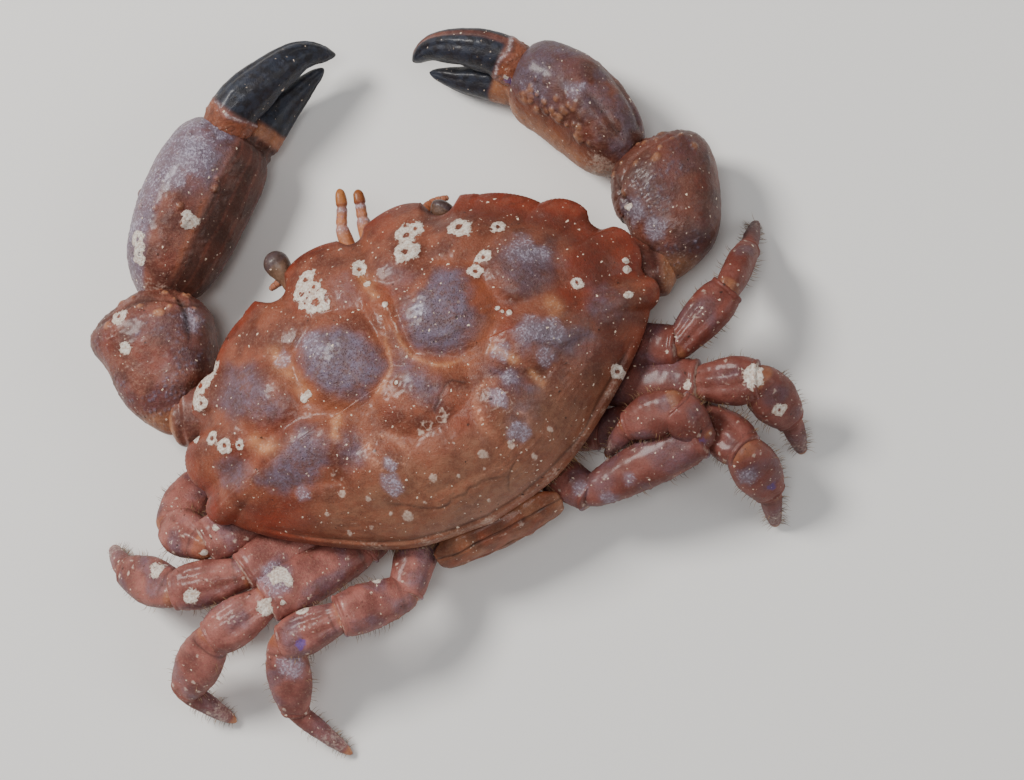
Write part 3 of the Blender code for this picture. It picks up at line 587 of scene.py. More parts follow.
def near_line(x, y, line, half_width):
    """1 on a smooth line through the places, fading to its half width and towards its ends."""
    drawn = spline(line, np.linspace(0, 1, 8 * len(line)))
    total = np.zeros_like(x)
    for k, (start, end) in enumerate(zip(drawn, drawn[1:])):
        fade = min(1.0, 0.35 + 6.0 * min(k + 1, len(drawn) - 1 - k) / len(drawn))
        total = np.maximum(total, fade * hump(gap_to(x, y, start, end), 0, half_width))
    return total


def ring_skin(rings):
    """Faces, four corners each, over rings of points closed by one point at each end.
    A triangle repeats its last corner."""
    count, sides = rings.shape[:2]
    points = np.vstack([rings[0].mean(0), rings.reshape(-1, 3), rings[-1].mean(0)])
    k = np.arange(sides)
    after = (k + 1) % sides
    first = np.column_stack([np.zeros_like(k), 1 + after, 1 + k, 1 + k])
    base = 1 + (count - 1) * sides
    last = np.column_stack([np.full_like(k, len(points) - 1), base + k, base + after, base + after])
    low = 1 + np.arange(count - 1)[:, None] * sides
    sheet = np.stack([low + k, low + after, low + sides + after, low + sides + k], -1)
    return points, np.vstack([first, sheet.reshape(-1, 4), last])


def tube(path, widths, heights, sides, rings, up=UP, side=None, squareness=2.3, share=0.16, last=None):
    """A closed tapering form round a path, rounded over a share of its length at the first end and at the
    last. Returns points, faces, how far along each point lies and the angle round the section, where 0 is
    across and a quarter turn is up."""
    sides = max(12, int(sides * density()))
    rings = max(12, int(rings * density()))
    path = np.asarray(path, float)
    t = 0.5 - 0.5 * np.cos(np.linspace(0.05, math.pi - 0.05, rings))
    centre = spline(path, t)
    along = unit(spline(path, np.minimum(t + 0.02, 1)) - spline(path, np.maximum(t - 0.02, 0)))
    across = np.tile(np.asarray(side, float), (rings, 1)) if side is not None else np.cross(along, up)
    across = unit(across - along * (across * along).sum(1, keepdims=True))
    upward = np.cross(across, along)
    gap = np.minimum(t / share, (1 - t) / (last or share))
    rounding = np.sqrt(np.clip(1 - np.clip(1 - gap, 0, 1) ** 2, 0, 1))
    angle = 2 * math.pi * np.arange(sides) / sides
    loops = centre[:, None]
    for way, half, wave in ((across, widths, np.cos(angle)), (upward, heights, np.sin(angle))):
        reach = (spline(half, t)[:, 0] * rounding)[:, None] * squared(wave, squareness)
        loops = loops + way[:, None] * reach[..., None]
    points, faces = ring_skin(loops)
    for end in (0, -1):
        points[end] = path[end] + (points[end] - path[end]) * 0.3
    t_all = np.concatenate([[t[0]], np.repeat(t, sides), [t[-1]]])
    angle_all = np.concatenate([[0], np.tile(angle, rings), [0]])
    return points, faces, t_all, angle_all


def normals_of(points, faces):
    corner = points[faces]
    face_normals = np.cross(corner[:, 2] - corner[:, 0], corner[:, 3] - corner[:, 1])
    flat = (corner[:, 2] == corner[:, 3]).all(1)
    face_normals[flat] = np.cross(corner[flat, 1] - corner[flat, 0], corner[flat, 2] - corner[flat, 0])
    total = np.zeros_like(points)
    for column in range(4):
        for axis in range(3):
            total[:, axis] += np.bincount(faces[:, column], face_normals[:, axis], len(points))
    total /= np.maximum(np.linalg.norm(total, axis=1, keepdims=True), 1e-12)
    volume = (points[faces[:, 0]] * face_normals).sum()
    return total if volume > 0 else -total


def raised(points, faces, amount):
    """The points moved out along the surface by an amount each."""
    return points + normals_of(points, faces) * amount[:, None]


class Masks(dict):
    """Where each of the finish's colours lies on a piece, 0 to 1 at each point."""

    def __init__(self, points):
        super().__init__((name, np.zeros(len(points))) for name in MASKS)

    def lay(self, name, values):
        """Raises a mask to the values where they are higher."""
        self[name] = np.maximum(self[name], values)

    def add(self, name, values):
        self[name] = np.clip(self[name] + values, 0, 1)


def new_mesh(name, points, faces, masks=None):
    mesh = bpy.data.meshes.new(name)
    corners = faces.tolist()
    corners = [face[:3] if face[2] == face[3] else face for face in corners]
    mesh.from_pydata(points.tolist(), [], corners)
    for mask, values in (masks or {}).items():
        if values.any():
            layer = mesh.attributes.new(mask, "FLOAT", "POINT")
            layer.data.foreach_set("value", np.clip(values, 0, 1).astype(np.float32))
    mesh.update()
    mesh.shade_smooth()
    return mesh


def new_object(name, data):
    obj = bpy.data.objects.new(name, data)
    bpy.context.scene.collection.objects.link(obj)
    return obj


def place_piece(name, points, faces, skin, nodes=(), masks=None):
    """Puts a form in the scene, in metres, facing out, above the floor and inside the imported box."""
    points = points + frame_shift()
    low, high = (np.array(corner) / MM for corner in CAD_BOX)
    points = np.clip(points, low, high)
    corner = points[faces]
    volume = (corner[:, 0] * np.cross(corner[:, 1], corner[:, 2])).sum()
    if volume < 0:
        faces = faces[:, ::-1].copy()
        triangles = faces[:, 0] == faces[:, 1]
        faces[triangles] = faces[triangles][:, (1, 2, 3, 3)]
    obj = new_object(name, new_mesh(name, points * MM, faces, masks))
    obj.data.materials.append(skin)
    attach(obj, "root")
    if nodes:
        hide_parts(*nodes)
    return obj


def read(items, key, width=1, kind=np.int32):
    """One value, or a row of width values, of each item of a mesh."""
    values = np.empty(len(items) * width, kind)
    items.foreach_get(key, values)
    return values


def fused(first, second, voxel, rounds):
    """One even skin round two overlapping forms."""
    points = np.vstack([first[0], second[0]])
    mesh = new_mesh("to_fuse", points, np.vstack([first[1], second[1] + len(first[0])]))
    obj = new_object("to_fuse", mesh)
    remesh = obj.modifiers.new("skin", "REMESH")
    remesh.mode = "VOXEL"
    remesh.voxel_size = voxel
    smooth = obj.modifiers.new("soften", "SMOOTH")
    smooth.factor = 0.5
    smooth.iterations = rounds
    graph = bpy.context.evaluated_depsgraph_get()
    result = obj.evaluated_get(graph).to_mesh()
    points = read(result.vertices, "co", 3, np.float32)
    starts = read(result.polygons, "loop_start")
    loops = read(result.loops, "vertex_index")
    last = np.where(read(result.polygons, "loop_total") == 4, starts + 3, starts + 2)
    faces = np.column_stack([loops[starts], loops[starts + 1], loops[starts + 2], loops[last]])
    obj.evaluated_get(graph).to_mesh_clear()
    bpy.data.objects.remove(obj)
    bpy.data.meshes.remove(mesh)
    return points.reshape(-1, 3).astype(float), faces


def along_path(points, path, up):
    """For each point: how far along the path it lies, and its angle round it, as tube gives them."""
    t = np.linspace(0, 1, PATH_STEPS)
    centre = spline(path, t)
    parts = np.array_split(points, len(points) // POINTS_AT_ONCE + 1)
    nearest = np.concatenate([((part[:, None] - centre) ** 2).sum(2).argmin(1) for part in parts])
    along = unit(np.gradient(centre, axis=0))
    across = unit(np.cross(along, up))
    upward = np.cross(across, along)
    out = points - centre[nearest]
    angle = np.arctan2((out * upward[nearest]).sum(1), (out * across[nearest]).sum(1))
    return t[nearest], angle


def outline():
    """The plain half outline of the shell: places, the way outwards, and lengths along it."""
    places = spline(HALF_OUTLINE, np.linspace(0, 1, OUTLINE_STEPS))
    lengths = np.concatenate([[0], np.cumsum(np.linalg.norm(np.diff(places, axis=0), axis=1))])
    tangents = np.gradient(places, axis=0)
    return places, unit(np.column_stack([tangents[:, 1], -tangents[:, 0]])), lengths


def at_length(values, lengths, along):
    """Values given along the outline, read at other lengths."""
    return np.column_stack([np.interp(along, lengths, values[:, k]) for k in (0, 1)])


def margin_reach(along):
    reach = np.zeros_like(along)
    for place, half_width, height in MARGIN_FEATURES.values():
        off = abs(along - place) / half_width
        reach += np.where(off < 1, height * (1 - np.minimum(off, 1) ** 2.2), 0)
    return reach


def regions_at(x, y):
    """Height of the raised regions at places of the shell, and 0 to 1 for the furrows between them."""
    total = np.zeros_like(x)
    first = np.full_like(x, -9.0)
    second = np.full_like(x, -9.0)
    for _, cx, cy, across, length, turn, height in REGIONS:
        inside = 1 - oval(abs(x), y, cx, cy, across, length, turn) ** 2
        total += (height * np.clip(inside, 0, 1) ** 1.05) ** 4
        second = np.maximum(second, np.minimum(first, inside))
        first = np.maximum(first, inside)
    furrow = hump(first, second, 0.3) * rise(second, -0.9, -0.1)
    furrow = np.maximum(furrow, 0.7 * hump(first, 0, 0.3))
    return total ** 0.25, furrow * rise(first, 0.85, 0.4)


def edge_height(y):
    """Height of the margin: higher from y = -9 forward, and lower from y = 0 back."""
    front = EDGE_SIDE + (EDGE_FRONT - EDGE_SIDE) * np.clip((-9 - y) / 8, 0, 1)
    return front + (EDGE_REAR - EDGE_SIDE) * np.clip(y / 12, 0, 1)


def shell_marks(flat, masks):
    """Fills the shell's masks from the tables of its marks."""
    x, y = flat[:, 0], flat[:, 1]
    ragged = 0.16 * grain(flat, 0.7, 12)
    wander = 0.55 * grain(flat, 1.7, 31) + 0.25 * grain(flat, 0.6, 32)
    for strength, soft, corners in BLOOMS.values():
        reach = inside_patch(x, y, corners) + wander
        masks.lay("bloom", strength * rise(reach, -0.7, 1.1 * soft))
    bent = 1 + 0.35 * grain(flat, 1.1, 33)
    for mask, strength, half_width, line in LINES.values():
        masks.lay(mask, strength * near_line(x + ragged, y - ragged, line, half_width) * bent)
    for half_width, line in SCAR_RIMS:
        masks.lay("scar", near_line(x + ragged, y - ragged, line, half_width))
    masks["scar"] *= 0.35 + 0.65 * rise(warts(flat, 0.55, 29, 1.0), 0.05, 0.45)
    for cx, cy, across, length, turn, share_pale in WRINKLED:
        patch = rise(oval(x, y, cx, cy, across, length, turn) + 2 * ragged, 1.2, 0.6)
        masks.lay("pale", share_pale * patch * (0.25 + 0.75 * wrinkles(flat, 0.4, 26)))
        masks["bloom"] *= 1 - 0.5 * patch
    for cx, cy, across, length, turn in CRUSTS:
        patch = rise(oval(x, y, cx, cy, across, length, turn) + 2 * ragged, 1.2, 0.5)
        masks.lay("violet", 0.35 * patch)
        masks.lay("frost", patch)
    masks.lay("frost", 0.8 * near_marks(flat, [(a, b, 0, r) for a, b, r in FROSTS]))
    masks.lay("pale", 0.85 * near_marks(flat, [(a, b, 0, BLOT_SHARE * r) for a, b, r in BLOTS]))
    masks["chalk_and_highlight"] = near_marks(flat, [(a, b, 0, r) for a, b, r in CHALK], 0.8)


def smoothed(values, shape, rounds):
    """Blurs a closed grid of values along and across its rings."""
    grid = values.reshape(shape)
    for _ in range(rounds):
        grid = (2 * grid + np.roll(grid, 1, 1) + np.roll(grid, -1, 1)) / 4
        grid[1:-1] = (2 * grid[1:-1] + grid[:-2] + grid[2:]) / 4
    return grid.ravel()


def shell_form(depth):
    """The shell's points, faces and masks. The depth scales its furrows and fine relief."""
    places, outward, lengths = outline()
    along = np.linspace(0, lengths[-1], int(SHELL_COLUMNS * density()))
    base = at_length(places, lengths, along)
    reach = margin_reach(along)
    beads = 0.05 * np.sin(along * 2 * math.pi / BEAD_SPACING) ** 2 * between(along, 12, 14, 34, 37)
    shift = at_length(outward, lengths, along) * (reach + beads)[:, None]
    mirror = np.array((-1.0, 1.0))
    base = np.vstack([base, base[-2:0:-1] * mirror])
    shift = np.vstack([shift, shift[-2:0:-1] * mirror])
    reach = np.concatenate([reach, reach[-2:0:-1]])
    edge = edge_height(base[:, 1])
    power = np.where(base[:, 1] < 0, FRONT_POWER, REAR_POWER)
    top_shares = 1 - (1 - np.linspace(0.006, 1, int(SHELL_RINGS * density()))) ** 1.12

    def flat_place(share):
        return SHELL_CENTRE + (base - SHELL_CENTRE) * share + shift * share ** 9

    rings = []
    for share in top_shares:
        height = edge + (SHELL_TOP - edge) * (1 - share ** power) ** 0.8
        swell = math.sin(math.pi * min(1.0, max(0.0, (share - 0.78) / 0.3))) ** 2
        height = height + 0.55 * np.maximum(reach, 0) * swell
        rings.append(np.column_stack([flat_place(share), height]))
    top = np.array(rings)
    points = top.reshape(-1, 3)
    share = np.repeat(top_shares, len(base))
    x, y = points[:, 0], points[:, 1]
    flat = points.copy()
    flat[:, 2] = 0
    region, furrow = (smoothed(values, top.shape[:2], REGION_ROUNDS) for values in regions_at(x, y))
    inland = 1 - share ** 10
    masks = Masks(points)
    shell_marks(flat, masks)
    front_groove = hump(x, 0, 0.5) * rise(y, -11.0, -14.0)
    rear = rise(y, 3.0, 8.0) * rise(abs(x), 20, 13)
    rim = rise(y, 3.0, 6.0) * (hump(share, 0.985, 0.012) - 0.7 * hump(share, 0.955, 0.012))
    lines = np.sin(share * 210 + 5.0 * grain(flat, 3.4, 5)) * rear * patchy(flat, 2.6, 6, -0.3, 0.4)
    lines *= between(share, 0.62, 0.8, 0.9, 0.97)
    lateral = rise(abs(x), 7, 13) * rise(y, 4, -1) * rise(share, 0.55, 0.8)
    flange_dip = hump(share, 0.88, 0.05) * rise(x, -7.0, -10.0) * rise(y, 0.0, -4.0)
    relief = 0.06 * grain(flat, 1.7, 21) + 0.03 * grain(flat, 0.7, 22) + 0.02 * grain(flat, 0.35, 23)
    relief += 0.06 * warts(flat, 0.85, 24) * lateral + 0.03 * warts(flat, 1.1, 28, 0.4)
    relief += 0.03 * wrinkles(flat, 0.8, 25) * rise(share, 0.25, 0.6) * (1 - rear)
    relief += 0.02 * lines + 0.05 * masks["pale"] + 0.10 * masks["scar"] + 0.04 * masks["frost"]
    relief += 0.04 * masks["tan"] - 0.10 * masks["halo"] - 0.08 * masks["dark"]
    relief += 0.28 * rim - 0.15 * front_groove
    relief -= 0.45 * flange_dip + 0.15 * hump(share, 0.9, 0.04) * rise(x, 9.0, 12.0) * rise(y, 0.0, -4.0)
    relief += masks["chalk_and_highlight"] * (0.09 + 0.07 * grain(flat, 0.4, 27))
    points[:, 2] += region * inland + depth * (relief - 0.09 * furrow * inland) * rise(share, 1.0, 0.985)
    masks.add("halo", 0.18 * furrow)
    flange = rise(share, 0.80, 0.91) * rise(x, -8.0, -11.0) * rise(y, -5.0, -8.0)
    lobe = rise(oval(x, y, -22.4, -5.4, 2.6, 3.6, 0), 1.25, 0.7)
    margin = rise(share, 0.92, 0.985) * rise(y, 4, 0)
    masks.add("red", 0.9 * flange + 0.9 * lobe + 0.6 * margin + 0.4 * patchy(flat, 3.5, 34, 0.1, 0.6))
    masks["red"] *= 1 - 0.8 * masks["bloom"]
    masks.add("rear", rear * (0.8 + 0.25 * grain(flat, 2.2, 35)))
    rim_pale = rise(y, 3.0, 7.0) * rise(share, 0.93, 0.975) * (0.45 + 0.5 * grain(flat, 1.5, 36))
    flecks = rise(warts(flat, 1.0, 38, 0.45), 0.5, 0.8) * patchy(flat, 2.4, 39, -0.5, 0.2)
    masks.add("pale", 0.3 * rise(lines, 0.6, 1) * rear + 0.6 * rim_pale + flecks * (0.75 * rear + 0.3))
    # Dark mask of the shell: fissures are dark cracks. The darkening in the notches, the rear fold, the
    # front groove and the flange's dip is painted shade in these hollows, and shade is painted shade over
    # the right side, away from the key light.
    notch = rise(np.tile(reach, len(top)), 0.25, -0.3) * rise(share, 0.93, 0.99) * rise(y, 1, -2)
    fold = hump(share, 0.958 + 0.01 * grain(flat, 3.0, 37), 0.006) * rise(y, 3.0, 6.0)
    fissures = wrinkles(flat, 1.3, 11) * rise(share, 0.9, 0.97) * (1 - rear)
    shade = rise(x, -5.0, -15.0) * rise(share, 0.97, 0.9)
    masks.add("dark", 0.3 * fissures + 0.35 * notch + 0.6 * fold + 0.2 * front_groove + 0.25 * flange_dip
              + 0.32 * shade)
    under = []
    for turn in np.linspace(0.12, 1, 8):
        share = 1 - 0.05 * (1 - math.cos(turn * math.pi / 2)) - 0.012 * turn
        under.append((share, edge - LIP * math.sin(turn * math.pi / 2)))
    for step in np.linspace(0.1, 1, 8):
        share = LIP_SHARE - (LIP_SHARE - 0.74) * step
        under.append((share, edge - LIP + (SHELL_FLOOR - edge + LIP) * step))
    under += [(share, np.full(len(base), SHELL_FLOOR)) for share in (0.6, 0.4, 0.2, 0.05)]
    below = [np.column_stack([flat_place(share), height]) for share, height in under]
    skin, faces = ring_skin(np.concatenate([points.reshape(top.shape), np.array(below)]))
    extra = len(skin) - len(points) - 1
    masks = {name: np.concatenate([[values[0]], values, np.zeros(extra)]) for name, values in masks.items()}
    masks["tan"][-extra:] = 0.45
    return skin, faces, masks


def limb_marks(points, masks):
    # Lime stains, with four painted highlights on knuckles among them
    masks.lay("chalk_and_highlight", near_marks(points, LIMB_CHALK_AND_HIGHLIGHTS, 0.8))
    masks.lay("violet", 0.9 * near_marks(points, LIMB_VIOLET))
    masks.lay("frost", near_marks(points, LIMB_FROST))


def extended(path, before, after):
    path = [np.asarray(p, float) for p in path]
    first = path[0] + unit(path[0] - path[1]) * before
    last = path[-1] + unit(path[-1] - path[-2]) * after
    return [first, *path[1:-1], last]


def leg_form(side, pair, index, depth):
    """One article of a walking leg: points, faces and masks."""
    article = ARTICLES[index]
    start, end = leg_joints(side, pair)[index:index + 2]
    tip = article == "dactylus"
    overhang = 0.0 if tip else JOINT_OVERHANG
    path = extended([start, (start + end) / 2 + (0, 0, 0.3 if tip else 0.15), end], ROOT_SINK, overhang)
    emerges = (ROOT_SINK + JOINT_OVERHANG) / (np.linalg.norm(end - start) + ROOT_SINK + overhang)
    points, faces, t, angle = tube(path, *leg_sections(side, pair, index), sides=60, rings=72,
                                   last=0.16 if tip else 0.07)
    ends = between(t, 0.03, 0.12, 0.95, 0.99)
    top = np.sin(angle)
    edge = abs(np.cos(angle)) ** 6
    relief = 0.05 * grain(points, 0.9, 41) + 0.03 * grain(points, 0.4, 42)
    masks = Masks(points)
    if article == "merus":
        relief += 0.10 * warts(points, 0.7, 43) * edge
        relief += 0.03 * warts(points, 0.55, 44) * rise(top, 0.1, 0.8)
    if article == "carpus":
        for centre in (1.25, 1.95):
            relief -= 0.24 * hump(angle, centre, 0.22) * np.sin(math.pi * t)
        relief += 0.05 * warts(points, 0.6, 45) * rise(top, 0.0, 0.7)
        seam = hump(angle, 1.6 + 0.3 * np.sin(7 * t), 0.035)
        seam += hump(angle, 2.5 - 1.6 * t, 0.03) * rise(t, 0.62, 0.58)
        masks["pale"] = 0.75 * seam * between(t, 0.36, 0.42, 0.74, 0.8)
    if article == "propodus":
        relief -= 0.10 * hump(angle, math.pi / 2, 0.25) * np.sin(math.pi * t)
        relief += 0.05 * warts(points, 0.6, 46) * rise(top, 0.0, 0.7)
    if tip:
        relief -= 0.10 * abs(np.sin(2 * angle)) ** 3 * between(t, 0.1, 0.3, 0.7, 0.9)
        masks["tan"] = 0.9 * rise(t, 0.84, 0.92)
        masks["halo"] = rise(t, 0.84, 0.92)
        masks["pale"] = 0.5 * between(t, 0.3, 0.6, 0.82, 0.9)
        masks["bloom"] = 0.5 * between(t, 0.2, 0.5, 0.82, 0.9)
    else:
        knobs = hump(t, 0.95, 0.035) * sum(hump(angle, turn * math.pi, 0.3) for turn in (0, 2, 1))
        relief += 0.07 * hump(t, 0.955, 0.018) + 0.12 * knobs - 0.07 * hump(t, 0.91, 0.018)
        rim = 0.8 * hump(t, 0.968, 0.013) * patchy(points, 0.9, 47, -0.5, 0.3)
        masks.lay("pale", rim)
        masks["frost"] = 0.8 * rise(knobs, 0.5, 0.9)
        masks["bloom"] = 0.5 * patchy(points, 1.9, 48, 0.0, 0.5) * rise(top, -0.1, 0.6) * rise(t, 0.95, 0.8)
    if article != "coxa":
        skin = rise(t + 0.015 * grain(points, 0.8, 52), emerges - 0.04, emerges - 0.09)
        masks.lay("halo", 0.8 * skin)
        masks.lay("tan", 0.4 * skin * patchy(points, 0.9, 53, -0.4, 0.5))
        # Painted shade: a dark ring where the article comes out of the joint before it, in the gap between
        # them.
        masks["dark"] = 0.6 * hump(t, emerges + 0.006, 0.014) * patchy(points, 1.2, 54, -0.8, 0.2)
    masks.lay("tan", 0.5 * rise(top, -0.25, -0.8))
    spots = rise(warts(points, 0.95, 50, 0.4), 0.45, 0.7) * rise(top, -0.4, 0.1)
    relief += 0.04 * spots
    masks.lay("pale", 0.95 * spots * patchy(points, 1.1, 51, -0.5, 0.2))
    masks.lay("dark", 0.15 * rise(wrinkles(points, 0.9, 49), 0.85, 1))
    # Painted shade: the right legs are laid redder and darker all over, as the right side lies away from
    # the key light.
    if side == "right":
        masks["red"] = np.full(len(points), 0.8 if pair == 1 else 0.45)
        masks.lay("dark", 0.46 if pair == 1 else 0.4)
    return finished(points, faces, relief * ends * depth, masks)


def leg_sections(side, pair, index):
    """Half widths and half heights along an article of a leg."""
    widths, heights = ARTICLE_SECTIONS[ARTICLES[index]]
    if (side, pair) == EDGEWISE_LEG and index > 2:
        widths, heights = heights, widths
    return sized((widths, heights), LEG_SIZE[side][pair - 1])


def finished(points, faces, amount, masks):
    """A limb's form with its relief raised and its marks laid on."""
    points = raised(points, faces, amount)
    limb_marks(points, masks)
    return points, faces, masks


def claw_teeth(t, angle, inner):
    facing = np.clip(inner * np.sin(angle), 0, 1) ** 3
    return 0.5 * facing * abs(np.sin(math.pi * FINGER_TEETH * t)) * (1 - t) * np.minimum(1, 4 * t)


def claw_merus(side, depth):
    """The upper arm of a claw. Like the other forms, it comes as points, faces and masks."""
    claw = CLAWS[side]
    points, faces, t, angle = tube(extended(claw["merus"], 0, ARM_OVERHANG),
                                   *sized(CLAW_MERUS, claw["size"]), sides=110, rings=110)
    top = np.sin(angle)
    masks = Masks(points)
    masks["tan"] = np.maximum(0.5 * rise(top, 0.0, -0.7), 0.7 * rise(t, 0.9, 0.97))
    masks["red"] = 0.5 * patchy(points, 2.0, 51, 0.0, 0.5)
    relief = 0.06 * grain(points, 1.1, 52) + 0.12 * warts(points, 0.9, 53) * rise(top, 0, 0.7)
    relief += 0.15 * hump(t, 0.93, 0.02) - 0.2 * hump(t, 0.88, 0.02)
    return finished(points, faces, depth * relief * between(t, 0.02, 0.1, 0.96, 1), masks)


def claw_carpus(side, depth):
    claw = CLAWS[side]
    sign = 1 if side == "left" else -1
    points, faces, t, angle = tube(extended(claw["carpus"], ROOT_SINK, ARM_OVERHANG),
                                   *sized(CLAW_CARPUS, claw["size"]), sides=190, rings=170, share=0.3)
    toward = np.clip(-sign * np.cos(angle), 0, 1) ** 2
    points = raised(points, faces, INNER_ANGLE_REACH * toward * hump(t, 0.68, 0.14))
    top = np.sin(angle)
    furrow = hump(t + 0.05 * np.sin(3 * angle), 0.8, 0.018) * rise(top, 0.1, 0.6)
    outer_furrow = hump(angle, math.pi / 2 - sign * 0.75, 0.09) * between(t, 0.45, 0.6, 0.8, 0.9)
    rugae = warts(points * (1, 1, 0.4), 0.5, 57, 0.95) * rise(top, -0.2, 0.4)
    likely = between(t, 0.6, 0.8, 0.9, 0.97) * rise(top, -0.1, 0.5) + 1e-6
    knobs = scattered(points, likely, 16, (0.3, 0.6), 59)
    relief = 0.06 * grain(points, 1.6, 54) + 0.03 * grain(points, 0.6, 55)
    relief += 0.03 * wrinkles(points, 0.75, 56)
    relief += 0.09 * rugae + 0.2 * knobs - 0.18 * furrow - 0.35 * outer_furrow
    masks = Masks(points)
    masks["bloom"] = 0.75 * rise(top, 0.0, 0.7) * patchy(points, 2.6, 58, -0.45, 0.35) * rise(t, 0.85, 0.6)
    masks["bloom"] *= 0.4 + 0.6 * rise(rugae, 0.05, 0.4)
    masks["tan"] = 0.7 * rise(t, 0.955, 0.99) + 0.55 * rise(t, 0.16, 0.08)
    masks.lay("tan", 0.45 * rise(top, -0.3, -0.8))
    masks.lay("tan", 0.6 * rise(knobs, 0.2, 0.8))
    masks["frost"] = 0.5 * masks["bloom"] * rise(rugae, 0.3, 0.8)
    masks["pale"] = 0.25 * patchy(points, 0.9, 61, 0.35, 0.6)
    masks["dark"] = np.clip(0.45 * furrow + 0.75 * outer_furrow, 0, 1)
    masks["red"] = 0.4 * patchy(points, 1.9, 60, 0.0, 0.5)
    # Painted shade: the right carpus is laid darker all over, as the right side lies away from the key
    # light.
    if side == "right":
        masks.lay("dark", 0.48)
    return finished(points, faces, depth * relief * between(t, 0.03, 0.14, 0.93, 0.99), masks)


def claw_finger(side, depth):
    """The moving finger."""
    claw = CLAWS[side]
    points, faces, t, angle = tube(claw["finger"], *sized(CLAW_FINGER, claw["size"]), up=claw["finger_up"],
                                   sides=130, rings=190, share=0.1)
    points = raised(points, faces, claw_teeth(t, angle, -1))
    inner = np.cos(angle) if side == "left" else -np.cos(angle)
    collar = rise(t, 0.23, 0.19)
    grooves = hump(inner, 0.75, 0.16) + hump(inner, -0.75, 0.16)
    grooves += 0.6 * hump(inner, 0.0, 0.12) * rise(np.sin(angle), 0, 1)
    relief = 0.03 * grain(points, 0.8, 61) - 0.16 * grooves * between(t, 0.2, 0.32, 0.8, 0.97)
    relief += collar * (0.10 + 0.10 * warts(points, 0.6, 62) + 0.08 * grain(points, 0.9, 66))
    relief += 0.02 * grain(points, 0.3, 63)
    masks = Masks(points)
    masks["horn"] = (1 - collar) * (1 - 0.75 * hump(np.sin(angle), 1.0, 0.02) * (side == "right"))
    masks["halo"] = collar * (0.7 + 0.3 * grain(points, 1.1, 64))
    masks["dark"] = 0.45 * collar * rise(wrinkles(points, 0.8, 60), 0.6, 0.95)
    masks["pale"] = 0.35 * collar * patchy(points, 0.8, 59, 0.1, 0.6)
    border = hump(t + 0.010 * np.sin(4 * angle), 0.196, 0.014) * patchy(points, 0.7, 80, -0.7, 0.2)
    masks["frost"] = 0.7 * border
    masks.lay("pale", 0.75 * border)
    return finished(points, faces, depth * relief * between(t, 0.01, 0.05, 0.96, 1), masks)


